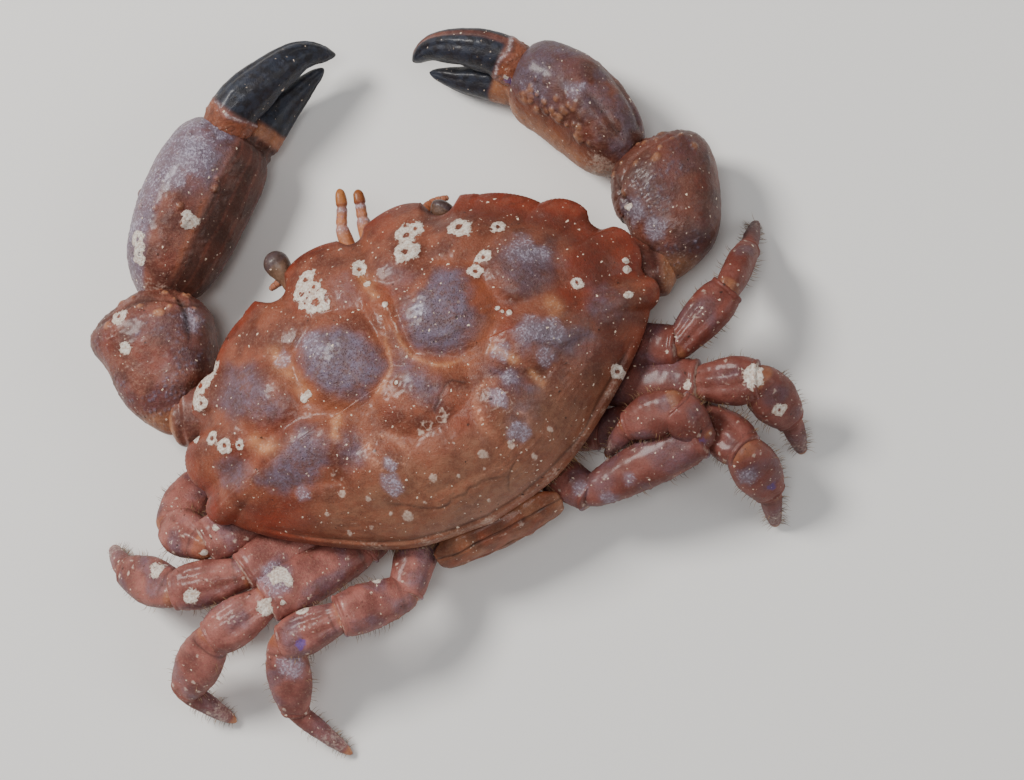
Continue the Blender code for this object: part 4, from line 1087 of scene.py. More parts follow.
def claw_palm(side, depth):
    """The palm with its fixed finger, in one skin."""
    claw = CLAWS[side]
    right = side == "right"
    up = claw["finger_up"]
    path = extended(claw["palm"], ROOT_SINK, ARM_OVERHANG)
    palm = tube(path, *sized(CLAW_PALM, claw["size"]), up=up, sides=120, rings=120, share=0.2,
                squareness=2.4)
    points, faces, t, angle = tube(claw["fixed_finger"], *sized(CLAW_FIXED, claw["size"]), up=up, sides=90,
                                   rings=110, share=0.08)
    points = raised(points, faces, claw_teeth(t, angle, 1))
    voxel = PALM_VOXEL * 1
    points, faces = fused(palm[:2], (points, faces), voxel, PALM_ROUNDS)
    t, angle = along_path(points, path, up)
    _, finger_angle = along_path(points, claw["fixed_finger"], up)
    top = np.sin(angle)
    past_palm = (points - path[-1]) @ unit(np.asarray(path[-1]) - path[-2])
    horn = rise(past_palm + 0.3 * grain(points, 1.2, 65), 0.6, 1.4)
    body = 1 - horn
    band = between(t, 0.12, 0.3, 0.75, 0.92)
    if right:
        band *= hump(top, 0.35, 0.4)
    likely = body * band * rise(top, 0.0, 0.2) + 1e-6
    rows = band * scattered(points, likely, 110 if right else 14, (0.3, 0.65), 66)
    ridge = hump(top, 0.92, 0.05) * between(t, 0.08, 0.15, 0.35, 0.55) * right
    dome = rise(t + 0.08 * grain(points, 2.2, 79), 0.42, 0.72) * rise(top, 0.1, 0.45)
    relief = 0.07 * grain(points, 1.8, 67) + 0.03 * grain(points, 0.7, 68) - 0.3 * ridge
    skin = 0.03 * wrinkles(points, 0.9, 69) + 0.04 * warts(points, 0.6, 70) * (1 - dome)
    relief += body * (skin + 0.26 * rows - 0.25 * hump(t, 0.935, 0.016))
    finger_side = np.cos(finger_angle)
    relief -= 0.14 * horn * (hump(finger_side, 0.75, 0.16) + hump(finger_side, -0.75, 0.16))
    clumps = rise(grain(points, 1.9, 72) + 0.4 * grain(points, 0.6, 75), -0.4, 0.3)
    knobs = rise(rows, 0.15, 0.7) * patchy(points, 0.7, 77, -0.9, 0.3)
    masks = Masks(points)
    masks["tan"] = np.maximum((0.62 if right else 0.3) * knobs, 0.4 * rise(t, 0.955, 0.99))
    masks["red"] = 0.35 * patchy(points, 2.0, 73, 0.0, 0.5)
    masks["halo"] = 0.75 * rise(t, 0.95, 0.985)
    if right:
        haze = np.maximum(0.85 * dome, 0.6 * rise(top, 0.35, 0.7) * clumps)
        masks["bloom"] = haze * (1 - 0.6 * rise(rows, 0.1, 0.4))
        masks["frost"] = 0.5 * hump(top, 0.55, 0.12) * rise(t, 0.35, 0.5) * clumps
        masks.lay("halo", 0.85 * rise(top, 0.2, -0.25))
        masks.lay("tan", 0.6 * rise(top, -0.1, -0.6))
        masks["pale"] = 0.75 * rise(t, 0.26, 0.12) * rise(top, 0.5, 0.1)
        # Painted shade: the right palm is laid darker all over, as the right side lies away from the key
        # light; the furrow by its upper edge is darker still.
        masks["dark"] = np.maximum(0.36, 0.65 * ridge)
    else:
        outer = rise(top, 0.86, 0.97)
        masks["bloom"] = np.maximum(dome * (0.65 + 0.35 * clumps), 0.8 * outer)
        masks["frost"] = np.maximum(0.75 * dome * rise(top, 0.3, 0.7) * clumps, 0.6 * outer)
        masks.lay("halo", 0.8 * hump(top, 0.30, 0.09) * rise(t, 0.1, 0.25))
        # Painted shade: the inner face below the crest is laid dark, as if turned from the light, broken by
        # paler stripes.
        stripes = rise(np.sin(angle * 16 + 1.5 * grain(points, 3.0, 74)), 0.55, 0.95)
        masks["dark"] = 0.7 * rise(top, 0.32, 0.12) * (1 - 0.5 * stripes) * (1 - body * masks["halo"])
        masks["pale"] = 0.5 * rise(t, 0.14, 0.07)
    for name in MASKS:
        masks[name] = masks[name] * body
    masks["horn"] = horn
    return finished(points, faces, depth * relief * rise(t, 0.02, 0.1), masks)


def chest_form():
    sides = int(240 * density())
    rings = int(80 * density())
    levels = spline(CHEST_LEVELS, np.linspace(0, 1, rings))
    angle = 2 * math.pi * np.arange(sides) / sides
    loops = []
    for height, half_width, front, rear, squareness in levels:
        x = half_width * squared(np.cos(angle), squareness)
        length = np.where(np.sin(angle) > 0, rear - CHEST_CENTRE_Y, CHEST_CENTRE_Y - front)
        y = CHEST_CENTRE_Y + length * squared(np.sin(angle), squareness)
        loops.append(np.column_stack([x, y, np.full(sides, height)]))
    points, faces = ring_skin(np.array(loops))
    x, y, z = points.T
    below = rise(z, 4.5, 2.4)
    sutures = np.zeros_like(x)
    for row in range(5):
        line = -6.0 + 3.6 * row + 0.12 * abs(x)
        sutures = np.maximum(sutures, hump(y, line, 0.28) * rise(abs(x), 1.5, 3.0))
    relief = -0.4 * below * (sutures + 0.8 * hump(x, 0, 0.4)) + 0.05 * grain(points, 1.0, 81)
    masks = Masks(points)
    masks["tan"] = 0.7 + 0.3 * grain(points, 2.5, 82)
    masks["pale"] = 0.5 * below * patchy(points, 1.6, 83, -0.2, 0.5)
    masks["dark"] = 0.5 * below * sutures
    return raised(points, faces, relief), faces, masks


def tail_form():
    path = [(0, y, z) for y, z in TAIL_PATH]
    points, faces, t, angle = tube(path, TAIL_WIDTHS, (TAIL_THICKNESS,) * 4, side=ACROSS, sides=110,
                                   rings=200, share=0.1)
    place = abs((t * TAIL_JOINTS + 0.07 * grain(points, 2.2, 91)) % 1 - 0.5)
    groove = rise(place, 0.40, 0.5)
    lobes = hump(points[:, 0], 0, 1.6)
    flecks = warts(points, 1.6, 90, 0.5)
    relief = (-0.22 * groove + 0.12 * lobes * (1 - groove)) * abs(np.sin(angle))
    relief += 0.07 * grain(points, 0.6, 84) + 0.2 * grain(points, 2.4, 89) + 0.14 * flecks
    masks = Masks(points)
    masks["tan"] = 0.2 * patchy(points, 1.8, 85, 0, 1) + 0.5 * rise(t, 0.45, 0.6)
    masks["halo"] = 0.35 * rise(t, 0.55, 0.4)
    masks["red"] = 0.7 * patchy(points, 1.3, 86, -0.3, 0.4) * rise(t, 0.55, 0.4)
    masks["pale"] = 0.7 * rise(flecks, 0.4, 0.8) + 0.3 * hump(place, 0.36, 0.04)
    masks["dark"] = 0.55 * groove + 0.4 * rise(t, 0.5, 0.3) * patchy(points, 0.7, 88, -0.1, 0.5)
    return raised(points, faces, relief * between(t, 0, 0.02, 0.98, 1)), faces, masks


def mirrored(form):
    points, faces, t, angle = form
    return points * (-1, 1, 1), faces[:, ::-1], t, angle


def jaw_form(side):
    form = tube(JAW_PATH, *JAW_SECTION, side=ACROSS, sides=70, rings=90, squareness=3.6, share=0.08)
    points, faces, t, _ = form if side == "left" else mirrored(form)
    relief = 0.04 * grain(points, 0.7, 91) - 0.2 * hump(t, 0.55, 0.02)
    masks = Masks(points)
    masks["tan"] = 0.5 + 0.4 * grain(points, 1.4, 92)
    masks["dark"] = 0.7 * hump(t, 0.55, 0.015)
    return raised(points, faces, relief * between(t, 0.02, 0.1, 0.95, 1)), faces, masks


def eye_form(side):
    """An eye on its stalk, with the darker disc at its end."""
    points, faces, t, _ = tube(EYE_PATHS[side], EYE_RADII, EYE_RADII, sides=70, rings=80, share=0.25)
    disc = rise(t + 0.03 * grain(points, 0.6, 93), 0.66, 0.74)
    masks = Masks(points)
    masks["bloom"] = 0.55 * disc
    masks["dark"] = 0.6 * disc + 0.35 * hump(t, 0.64, 0.03)
    masks["halo"] = 0.4 * rise(t, 0.5, 0.2)
    return raised(points, faces, 0.05 * grain(points, 0.5, 94) * (1 - disc)), faces, masks


def antenna_form(side):
    form = tube(ANTENNA_PATH, ANTENNA_RADII, ANTENNA_RADII, sides=36, rings=120, share=0.06)
    points, faces, t, _ = form if side == "left" else mirrored(form)
    segments = np.cos(t * 60)
    masks = Masks(points)
    masks["dark"] = 0.5 * rise(segments, 0.7, 1)
    masks["red"] = 0.6 * rise(t, 0.5, 0.2)
    relief = -0.05 * rise(segments, 0.6, 1) * between(t, 0.25, 0.3, 0.95, 1)
    return raised(points, faces, relief), faces, masks


def antennule_form(side):
    radii = ANTENNULE_RADII
    points, faces, t, _ = tube(ANTENNULE_PATHS[side], radii, radii, sides=36, rings=90, share=0.12)
    masks = Masks(points)
    masks["scar"] = 0.45 * rise(t, 0.68, 0.6)
    masks["dark"] = 0.2 * rise(t, 0.5, 0.7)
    masks["violet"] = 0.4 * hump(t, 0.5, 0.05)
    masks["frost"] = hump(t, 0.62, 0.05) + 0.8 * hump(t, 0.34, 0.06)
    masks["red"] = 0.5 * hump(t, 0.70, 0.03)
    joints = hump(t, 0.38, 0.03) + hump(t, 0.66, 0.03)
    relief = 0.02 * grain(points, 0.4, 95) - 0.1 * joints
    return raised(points, faces, relief * rise(t, 1, 0.94)), faces, masks


class Wire:
    """A number that runs through a material. Sums, products and the like of wires add Math nodes."""

    def __init__(self, sheet, socket):
        self.sheet = sheet
        self.socket = socket

    def _math(self, operation, first, second):
        return self.sheet.node("ShaderNodeMath", {"operation": operation}, {0: first, 1: second})

    def __add__(self, other):
        return self._math("ADD", self, other)

    def __radd__(self, other):
        return self._math("ADD", other, self)

    def __sub__(self, other):
        return self._math("SUBTRACT", self, other)

    def __rsub__(self, other):
        return self._math("SUBTRACT", other, self)

    def __mul__(self, other):
        return self._math("MULTIPLY", self, other)

    def __rmul__(self, other):
        return self._math("MULTIPLY", other, self)


class Sheet:
    """The nodes of one material."""

    def __init__(self, name):
        self.material = bpy.data.materials.new(name)
        self.material.use_nodes = True
        self.tree = self.material.node_tree
        self.shader = self.tree.nodes["Principled BSDF"]

    def node(self, kind, settings, inputs, output=0):
        made = self.tree.nodes.new(kind)
        for name, value in settings.items():
            setattr(made, name, value)
        for key, value in inputs.items():
            if isinstance(value, Wire):
                self.tree.links.new(value.socket, made.inputs[key])
            else:
                made.inputs[key].default_value = value
        return Wire(self, made.outputs[output])

    def mix(self, share, under, over):
        """A colour laid over another by a share."""
        under = under if isinstance(under, Wire) else (*under, 1)
        over = over if isinstance(over, Wire) else (*over, 1)
        settings = {"data_type": "RGBA", "clamp_factor": True}
        return self.node("ShaderNodeMix", settings, {0: share, 6: under, 7: over}, 2)

    def step(self, value, low, high):
        """0 below low, 1 above high, smooth between."""
        settings = {"interpolation_type": "SMOOTHSTEP"}
        return self.node("ShaderNodeMapRange", settings, {0: value, 1: low, 2: high})

    def mask(self, name):
        return self.node("ShaderNodeAttribute", {"attribute_name": name}, {}, 2)

    def places(self):
        """Places on the piece, in millimetres."""
        found = self.node("ShaderNodeTexCoord", {}, {}, 3)
        return self.node("ShaderNodeVectorMath", {"operation": "SCALE"}, {0: found, 3: 1 / MM})

    def noise(self, place, size, detail=3.0):
        return self.node("ShaderNodeTexNoise", {}, {"Vector": place, "Scale": 1 / size, "Detail": detail})

    def bent(self, place, size, reach):
        """The places pushed about, so that round cells become uneven."""
        push = self.node("ShaderNodeTexNoise", {}, {"Vector": place, "Scale": 1 / size, "Detail": 2.0}, 1)
        inputs = {0: push, 1: (reach,) * 3, 2: place}
        return self.node("ShaderNodeVectorMath", {"operation": "MULTIPLY_ADD"}, inputs)

    def cells(self, place, size):
        """Distance from the nearest cell's middle, and two draws that each cell keeps."""
        gap = self.node("ShaderNodeTexVoronoi", {}, {"Vector": place, "Scale": 1 / size})
        colour = Wire(self, gap.socket.node.outputs[1])
        drawn = self.node("ShaderNodeSeparateColor", {}, {0: colour})
        return gap, drawn, Wire(self, drawn.socket.node.outputs[1])

    def feed(self, name, value):
        """Joins a wire to one of the shader's inputs, or sets it to a plain value."""
        if isinstance(value, Wire):
            self.tree.links.new(value.socket, self.shader.inputs[name])
        else:
            self.shader.inputs[name].default_value = value


def srgb(red, green, blue):
    """A screen colour, 0 to 255, as linear light."""
    values = np.array((red, green, blue)) / 255
    linear = np.where(values <= 0.04045, values / 12.92, ((values + 0.055) / 1.055) ** 2.4)
    return tuple(float(v) for v in linear)


GRAIN_DEPTH = 0.00017
COLOURS = {
    "dust": srgb(168, 130, 108),
    "bloom": srgb(104, 92, 110),
    "bloom_dark": srgb(86, 66, 70),
    "bloom_light": srgb(142, 134, 152),
    "halo": srgb(150, 84, 52),
    "tan": srgb(196, 134, 92),
    "cream": srgb(228, 206, 184),
    "red": srgb(130, 45, 23),
    "rear": srgb(146, 102, 78),
    "pale": srgb(202, 176, 160),
    "scar": srgb(212, 146, 116),
    "frost": srgb(196, 186, 202),
    # Chalk white: lime stains, and four painted highlights on knuckles of the limbs
    "chalk_and_highlight": srgb(228, 222, 210),
    "violet": srgb(88, 66, 142),
    # Grime and painted shade: the dark of pores, grit and fine dirt, and of the dark mask, which in places
    # is painted shade
    "grime_and_shade": srgb(38, 24, 18),
    "horn": srgb(17, 21, 29),
    "horn_blue": srgb(38, 47, 62),
}


def shell_finish(name, dark, light, speck_share, gloss, bump):
    """Crab shell: two ground colours in clouds, dust, the masks' colours, pores, specks and grain. The dark
    mask paints shade in places, the chalk white some highlights, and the cream specks are partly painted
    glints.
    """
    sheet = Sheet(name)
    step, mask = sheet.step, sheet.mask
    place = sheet.places()
    fine = sheet.noise(place, 0.26, 4.0)
    flecks = sheet.noise(place, 0.85, 6.0)
    grit_noise = sheet.noise(place, 0.12, 2.0)
    broken = step(flecks, 0.40, 0.60)
    speckle = step(fine, 0.44, 0.66)
    uneven = (fine - 0.5) * 1.1 + (flecks - 0.5) * 0.7
    colour = sheet.mix(step(sheet.noise(place, 2.6, 4.0), 0.36, 0.64), dark, light)

    def over(share, top):
        """A colour, by its name or as a wire, laid over the colour so far."""
        return sheet.mix(share, colour, COLOURS[top] if isinstance(top, str) else top)

    colour = over(step(fine, 0.46, 0.74) * 0.24, "dust")
    colour = over(mask("red") * (0.5 + broken * 0.3), "red")
    colour = over(mask("rear") * (0.45 + broken * 0.4), "rear")
    colour = over(mask("halo") * (0.5 + broken * 0.3), "halo")
    bloom = mask("bloom")
    haze = sheet.mix(step(flecks, 0.28, 0.70), COLOURS["bloom_dark"], COLOURS["bloom"])
    haze = sheet.mix(step(fine, 0.45, 0.85) * 0.4, haze, COLOURS["bloom_light"])
    colour = over(bloom * (0.84 + uneven * 0.5), haze)
    colour = over(step(grit_noise, 0.52, 0.72) * 0.30, "grime_and_shade")
    tan = sheet.mix(step(fine, 0.5, 0.75) * 0.5, COLOURS["tan"], COLOURS["cream"])
    colour = over(mask("tan") * (0.5 + step(flecks, 0.3, 0.7) * 0.5), tan)
    colour = over(mask("scar") * (0.55 + speckle * 0.4), "scar")
    pale = mask("pale")
    colour = over(step(pale + uneven * 1.1 * step(pale, 0.0, 0.3), 0.25, 1.05) * 0.85, "pale")
    violet = mask("violet")
    colour = over(step(violet + uneven * 1.2, 0.3, 1.0) * step(violet, 0.05, 0.3) * 0.75, "violet")
    frost = mask("frost")
    crystals = step(fine * 0.6 + flecks * 0.2 + grit_noise * 0.2 + frost * 0.12, 0.57, 0.70)
    colour = over(frost * 0.45, "bloom_light")
    colour = over(crystals * step(frost, 0.0, 0.4) * 0.46, "frost")
    horn = mask("horn")
    colour = over(horn * 0.97, sheet.mix(broken * 0.7, COLOURS["horn"], COLOURS["horn_blue"]))
    dots = step(sheet.cells(place, 0.24)[0], 0.36, 0.16) * (0.25 + bloom * 0.75) * (1 - horn)
    colour = over(dots * 0.38, "grime_and_shade")
    # The dark mask: dark marks and cracks, and painted shade in hollows, in the gaps of joints and on the
    # right side, away from the key light
    colour = over(mask("dark") * 0.85, "grime_and_shade")
    # Cream specks and finer dust below: fine grains on the shell, and painted glints, the tiny highlights
    # of a wet surface.
    gap, draw, size = sheet.cells(sheet.bent(place, 0.3, 0.45), 0.62)
    spot = step(gap - size * 0.20 + fine * 0.16, 0.14, 0.05)
    specks = spot * step(draw, 1 - 0.40 * speck_share, 1 - 0.34 * speck_share)
    grit = spot * step(draw, 0.14, 0.10)
    gap, draw, small = sheet.cells(sheet.bent(place, 0.2, 0.3), 0.36)
    dust = step(gap - small * 0.15, 0.16, 0.05) * step(draw, 1 - 0.22 * speck_share, 1)
    colour = over(dust * 0.8, "cream")
    colour = over(specks * (0.4 + size * 0.6), "cream")
    colour = over(grit * 0.75, "grime_and_shade")
    # Lime stains in chalk white, and on four knuckles painted highlights in the same white
    chalk_and_highlight = mask("chalk_and_highlight")
    chalk_and_highlight_cover = step(chalk_and_highlight * 0.9 + uneven * 1.25, 0.40, 0.62) * step(chalk_and_highlight, 0.02, 0.2)
    white = sheet.mix(step(fine, 0.38, 0.66) * 0.7, COLOURS["chalk_and_highlight"], COLOURS["dust"])
    height = fine * 0.5 + grit_noise * 0.5 + specks * 0.4 + grit * 0.4 - dots * 0.35 + chalk_and_highlight_cover * 0.4
    height = height + frost * speckle * 0.3
    grained = {"Strength": 0.7 * bump, "Distance": GRAIN_DEPTH, "Height": height}
    sheet.feed("Base Color", over(chalk_and_highlight_cover * 0.88, white))
    sheet.feed("Roughness", gloss + flecks * 0.22 + chalk_and_highlight_cover * 0.3 - bloom * 0.03)
    sheet.feed("Normal", sheet.node("ShaderNodeBump", {}, grained))
    sheet.feed("Specular IOR Level", 0.3)
    sheet.feed("Coat Weight", 0.2)
    sheet.feed("Coat Roughness", 0.22)
    return sheet.material


# Each finish of the shell: its dark and light ground, share of specks, gloss and bump
FINISHES = {
    "shell_skin": ((96, 46, 32), (136, 74, 52), 0.8, 0.40, 1.0),
    "claw_skin": ((88, 46, 37), (126, 72, 58), 0.5, 0.40, 1.0),
    "leg_skin": ((114, 61, 54), (154, 93, 84), 0.8, 0.5, 1.0),
    "belly_skin": ((104, 60, 42), (146, 98, 72), 0.6, 0.55, 1.0),
    "antenna_skin": ((150, 84, 54), (190, 130, 104), 0.1, 0.35, 0.4),
    "antennule_skin": ((138, 72, 26), (178, 108, 52), 0.1, 0.4, 0.5),
    "eye_skin": ((84, 58, 44), (120, 92, 72), 0.2, 0.36, 0.5),
}


def finish(name):
    """The named finish, made once."""
    found = bpy.data.materials.get(name)
    if found:
        return found
    if name == "hair":
        return hair_finish(name)
    dark, light, *rest = FINISHES[name]
    return shell_finish(name, srgb(*dark), srgb(*light), *rest)


def hair_finish(name):
    sheet = Sheet(name)
    shade = sheet.step(sheet.noise(sheet.places(), 0.8), 0.35, 0.65)
    sheet.feed("Base Color", sheet.mix(shade, srgb(92, 62, 40), srgb(176, 140, 100)))
    sheet.feed("Roughness", 0.6)
    return sheet.material


class CrabForm(bpy.types.PropertyGroup):
    """Sizes that a user may change."""

    relief: FloatProperty(
        name="Relief", description="Depth of the furrows, warts and fine grain, 1 as in life", default=1.0,
        min=0.0, max=2.0, subtype="FACTOR")
    hair_length: FloatProperty(
        name="Hair length", description="Length of the short hairs on the legs", default=0.0008, min=0.0,
        unit="LENGTH", subtype="DISTANCE")
    hair_count: IntProperty(
        name="Hairs per article", description="Short hairs along each article of a leg", default=46, min=0,
        max=400)
    hairs: BoolProperty(
        name="Hairs", description="Grow the short hairs on the legs and under the rear edge", default=True)


class CrabStage(bpy.types.PropertyGroup):
    """The floor and the light."""

    floor_colour: FloatVectorProperty(
        name="Floor", description="Colour of the plain floor", subtype="COLOR", size=3, min=0.0, max=1.0,
        default=(0.80, 0.79, 0.77))
    key_power: FloatProperty(
        name="Key light", description="Power of the main soft light", default=2.6, min=0.0, unit="POWER")
    sky: FloatProperty(
        name="Sky", description="Strength of the even light from all round", default=0.25, min=0.0)


class CRAB_OT_shell(bpy.types.Operator):
    """Builds the furrowed shell"""

    bl_idname = "crab.shell"
    bl_label = "Shell"

    def execute(self, context):
        points, faces, masks = shell_form(context.scene.crab_form.relief)
        place_piece("shell_fine", points, faces, finish("shell_skin"), ["carapace"], masks)
        return {"FINISHED"}


class CRAB_OT_belly(bpy.types.Operator):
    """Builds the chest, the folded tail and the outer jaws"""

    bl_idname = "crab.belly"
    bl_label = "Belly"

    def execute(self, context):
        pieces = [("chest", "thorax", chest_form()), ("tail", "abdomen", tail_form())]
        pieces += [(f"jaw_{side}", f"maxilliped_{side}", jaw_form(side)) for side in SIDES]
        for word, node, (points, faces, masks) in pieces:
            place_piece(f"{word}_fine", points, faces, finish("belly_skin"), [node], masks)
        return {"FINISHED"}


class CRAB_OT_head(bpy.types.Operator):
    """Builds the eyes, antennae and antennules"""

    bl_idname = "crab.head"
    bl_label = "Eyes and feelers"

    def execute(self, context):
        pieces = {
            "eye": (eye_form, "eye_skin", "eye"),
            "antenna": (antenna_form, "antenna_skin", "feeler"),
            "antennule": (antennule_form, "antennule_skin", "feeler"),
        }
        for side in SIDES:
            for word, (form, skin, slot) in pieces.items():
                points, faces, masks = form(side)
                node = f"{word}_{side}"
                place_piece(f"{node}_fine", points, faces, finish(skin), [node], masks)
        return {"FINISHED"}


class CRAB_OT_claws(bpy.types.Operator):
    """Builds both claws"""

    bl_idname = "crab.claws"
    bl_label = "Claws"

    def execute(self, context):
        pieces = {"merus": claw_merus, "carpus": claw_carpus, "finger": claw_finger, "palm": claw_palm}
        for side in SIDES:
            for word, form in pieces.items():
                points, faces, masks = form(side, context.scene.crab_form.relief)
                node = f"claw_{side}_{word}"
                place_piece(f"{node}_fine", points, faces, finish("claw_skin"), [node], masks)
        return {"FINISHED"}


class CRAB_OT_legs(bpy.types.Operator):
    """Builds the walking legs"""

    bl_idname = "crab.legs"
    bl_label = "Walking legs"

    def execute(self, context):
        depth = context.scene.crab_form.relief
        for side, pair in LEG_JOINTS:
            for index, article in enumerate(ARTICLES):
                points, faces, masks = leg_form(side, pair, index, depth)
                node = f"leg_{pair}_{side}_{article}"
                place_piece(f"{node}_fine", points, faces, finish("leg_skin"), [node], masks)
        return {"FINISHED"}


def leg_joints(side, pair):
    root = np.array(LEG_ROOTS[pair - 1]) * (1 if side == "left" else -1, 1, 1)
    return [np.array(joint, float) for joint in (root, *LEG_JOINTS[side, pair])]


def hair_points(root, out, lean, length, width):
    """A bent, pointed hair: two rings of three points and a tip."""
    out = unit(out)
    side = unit(np.cross(out, lean))
    other = np.cross(out, side)
    rings = []
    for share, thick in ((-0.15, 1.0), (0.55, 0.7)):
        middle = root + out * length * share + lean * length * share * share
        for turn in (0, 2.1, 4.2):
            rings.append(middle + width * thick * (side * math.cos(turn) + other * math.sin(turn)))
    return [*rings, root + out * length + lean * length]


HAIR_FACES = ((0, 2, 1, 1), (0, 1, 4, 3), (1, 2, 5, 4), (2, 0, 3, 5), (3, 4, 6, 6), (4, 5, 6, 6),
              (5, 3, 6, 6))
# Where a hair's points lie on its patch of the unwrap
HAIR_PATCH = ((-1.0, -1.0), (0.0, -1.0), (1.0, -1.0), (-1.0, 0.2), (0.0, 0.2), (1.0, 0.2), (0.0, 1.0))
PATCH_SIZE = 0.003
HAIR_WIDTH = 0.028
REAR_HAIR_WIDTH = 0.03
# Hairs under the rear edge, for each hair along an article of a leg
REAR_HAIRS = 7
HAIR_SEED = 7


class HairCoat:
    """Collects hairs and the place of each root on the unwrap of the skin that it grows from."""

    def __init__(self):
        self.points = []
        self.faces = []
        self.places = []

    def add(self, root, out, lean, length, width, place):
        base = len(self.points)
        self.points += hair_points(root, out, lean, length, width)
        self.faces += [[base + k for k in face] for face in HAIR_FACES]
        half = PATCH_SIZE / 2
        self.places += [(place[0] + half * u, place[1] + half * v) for u, v in HAIR_PATCH]

    def grow(self, name):
        obj = place_piece(name, np.array(self.points), np.array(self.faces), finish("hair"))
        layer = obj.data.uv_layers.new(name="OFBake")
        corners = read(obj.data.loops, "vertex_index")
        layer.data.foreach_set("uv", np.array(self.places)[corners].ravel())


class CRAB_OT_hairs(bpy.types.Operator):
    """Grows the short hairs along the legs and under the shell's rear edge"""

    bl_idname = "crab.hairs"
    bl_label = "Hairs"

    def execute(self, context):
        form = context.scene.crab_form
        if not form.hairs:
            return {"FINISHED"}
        rng = np.random.default_rng(HAIR_SEED)
        length = form.hair_length / MM
        for side in SIDES:
            coat = HairCoat()
            for pair in (1, 2, 3, 4):
                for index in (1, 2, 3, 4):
                    leg_hairs(coat, rng, side, pair, index, form.hair_count, length)
            coat.grow(f"hairs_{side}")
        coat = HairCoat()
        places, outward, lengths = outline()
        for _ in range(form.hair_count * REAR_HAIRS):
            along = rng.uniform(lengths[-1] * 0.80, lengths[-1])
            sign = rng.choice((-1.0, 1.0))
            spot = at_length(places, lengths, along)[0]
            away = at_length(outward, lengths, along)[0]
            root = np.array((*(spot - away * rng.uniform(0.35, 0.9)), EDGE_REAR - 0.95)) * (sign, 1, 1)
            lean = np.array((rng.normal(0, 0.25), rng.normal(0, 0.25), rng.uniform(-0.7, -0.2)))
            place = (0.5 + sign * 0.45 * along / lengths[-1], 0.5 + 0.3 * rng.uniform(-1, 1))
            out = np.array((*away, -0.35)) * (sign, 1, 1)
            coat.add(root, out, lean, length * rng.uniform(1.0, 2.0), REAR_HAIR_WIDTH, place)
        coat.grow("hairs_rear")
        return {"FINISHED"}


def leg_hairs(coat, rng, side, pair, index, count, length):
    """Adds the hairs of one article, thickest along its two edges."""
    start, end = leg_joints(side, pair)[index:index + 2]
    tip = ARTICLES[index] == "dactylus"
    widths, heights = leg_sections(side, pair, index)
    path = extended([start, (start + end) / 2 + (0, 0, 0.15), end], ROOT_SINK, 0.0 if tip else 0.3)
    along = unit(end - start)
    across = unit(np.cross(along, (0, 0, 1)))
    upward = np.cross(across, along)
    for _ in range(count):
        t = rng.uniform(0.25, 0.95 if tip else 0.9)
        edge = rng.choice((0.0, math.pi)) + rng.normal(0, 0.45)
        out = across * math.cos(edge) + upward * math.sin(edge)
        wide = spline(widths, t)[0, 0]
        high = spline(heights, t)[0, 0]
        root = spline(path, t)[0] + across * wide * math.cos(edge) + upward * high * math.sin(edge)
        lean = along * rng.uniform(0.2, 0.7) + (0, 0, rng.uniform(-0.25, 0.1))
        place = ((pair - 1 + 0.05 + 0.9 * t) / 4, (index - 1 + 0.1 + 0.8 * (edge / (2 * math.pi) % 1)) / 4)
        coat.add(root, out, lean, length * rng.uniform(0.5, 1.3), HAIR_WIDTH, place)


def set_lights(middle, key_power):
    """Soft round lights, all aimed at the crab's middle."""
    for name, (offset, size, share, colour) in LIGHTS.items():
        light = bpy.data.lights.new(name, "AREA")
        light.shape = "DISK"
        light.size = size
        light.energy = key_power * share
        light.color = colour
        obj = new_object(name, light)
        obj.location = middle + Vector(offset)
        obj.rotation_euler = (middle - obj.location).to_track_quat("-Z", "Y").to_euler()


def set_camera():
    """The camera at the photo's angle."""
    back = np.array((-math.sin(CAMERA_TILT_SIDE), math.sin(CAMERA_TILT_REAR), 0.0))
    back[2] = math.sqrt(1 - back @ back)
    east = unit(np.array((0.0, 1.0, 0.0)) - back[1] * back)
    north = np.cross(back, east)
    right = math.cos(CAMERA_TURN) * east - math.sin(CAMERA_TURN) * north
    above = math.sin(CAMERA_TURN) * east + math.cos(CAMERA_TURN) * north
    data = bpy.data.cameras.new("camera")
    data.sensor_width = SENSOR
    data.lens = CAMERA_LENS
    data.clip_start = 0.01
    turned = Matrix((right, above, back)).transposed().to_4x4()
    turned.translation = Vector((np.array(CAMERA_PLACE) + frame_shift()) * MM)
    camera = new_object("camera", data)
    camera.matrix_world = turned
    bpy.context.scene.camera = camera


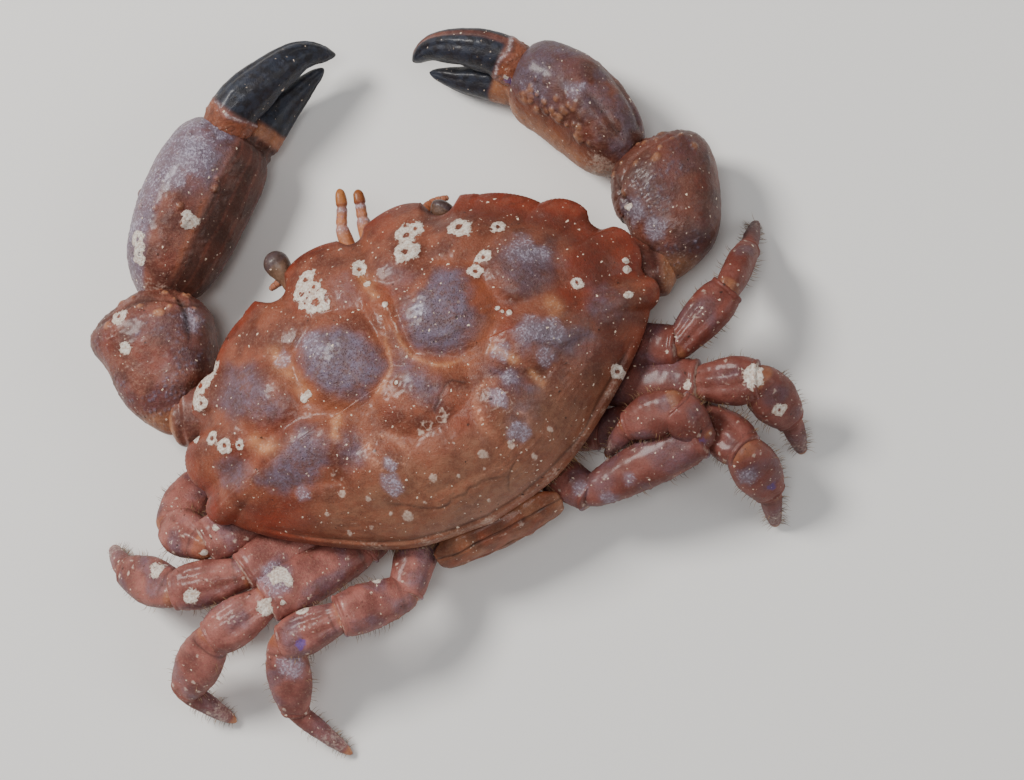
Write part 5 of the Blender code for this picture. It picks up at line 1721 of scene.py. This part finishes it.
class CRAB_OT_stage(bpy.types.Operator):
    """Sets the plain floor, the soft light and the camera"""

    bl_idname = "crab.stage"
    bl_label = "Floor, light and camera"

    def execute(self, context):
        stage = context.scene.crab_stage
        mesh = bpy.data.meshes.new("floor")
        corners = ((-1, -1), (1, -1), (1, 1), (-1, 1))
        mesh.from_pydata([(FLOOR_HALF * x, FLOOR_HALF * y, 0) for x, y in corners], [], [(0, 1, 2, 3)])
        floor = new_object("floor", mesh)
        sheet = Sheet("floor_paint")
        sheet.feed("Base Color", (*stage.floor_colour, 1))
        sheet.feed("Roughness", 0.75)
        mesh.materials.append(sheet.material)
        world = bpy.data.worlds.new("studio")
        world.use_nodes = True
        sky = world.node_tree.nodes["Background"]
        sky.inputs["Color"].default_value = (0.95, 0.97, 1.0, 1)
        sky.inputs["Strength"].default_value = stage.sky
        context.scene.world = world
        set_lights(Vector(frame_shift() * MM), stage.key_power)
        set_camera()
        return {"FINISHED"}


class CRAB_PT_panel(bpy.types.Panel):
    """Lists the crab's steps in the sidebar"""

    bl_label = "Crab"
    bl_space_type = "VIEW_3D"
    bl_region_type = "UI"
    bl_category = "Crab"

    def draw(self, context):
        for step in STEPS:
            self.layout.operator(step.bl_idname)
        for group in (context.scene.crab_form, context.scene.crab_stage):
            for name in group.__annotations__:
                self.layout.prop(group, name)


STEPS = (CRAB_OT_stage, CRAB_OT_shell, CRAB_OT_belly, CRAB_OT_head, CRAB_OT_claws, CRAB_OT_legs,
         CRAB_OT_hairs)
CLASSES = (CrabForm, CrabStage, *STEPS, CRAB_PT_panel)


def register():
    for one in CLASSES:
        bpy.utils.register_class(one)
    bpy.types.Scene.crab_form = PointerProperty(type=CrabForm)
    bpy.types.Scene.crab_stage = PointerProperty(type=CrabStage)


def unregister():
    del bpy.types.Scene.crab_stage
    del bpy.types.Scene.crab_form
    for one in reversed(CLASSES):
        bpy.utils.unregister_class(one)


def main():
    register()
    for step in STEPS:
        group, name = step.bl_idname.split(".")
        getattr(getattr(bpy.ops, group), name)()


if __name__ == "__main__":
    main()
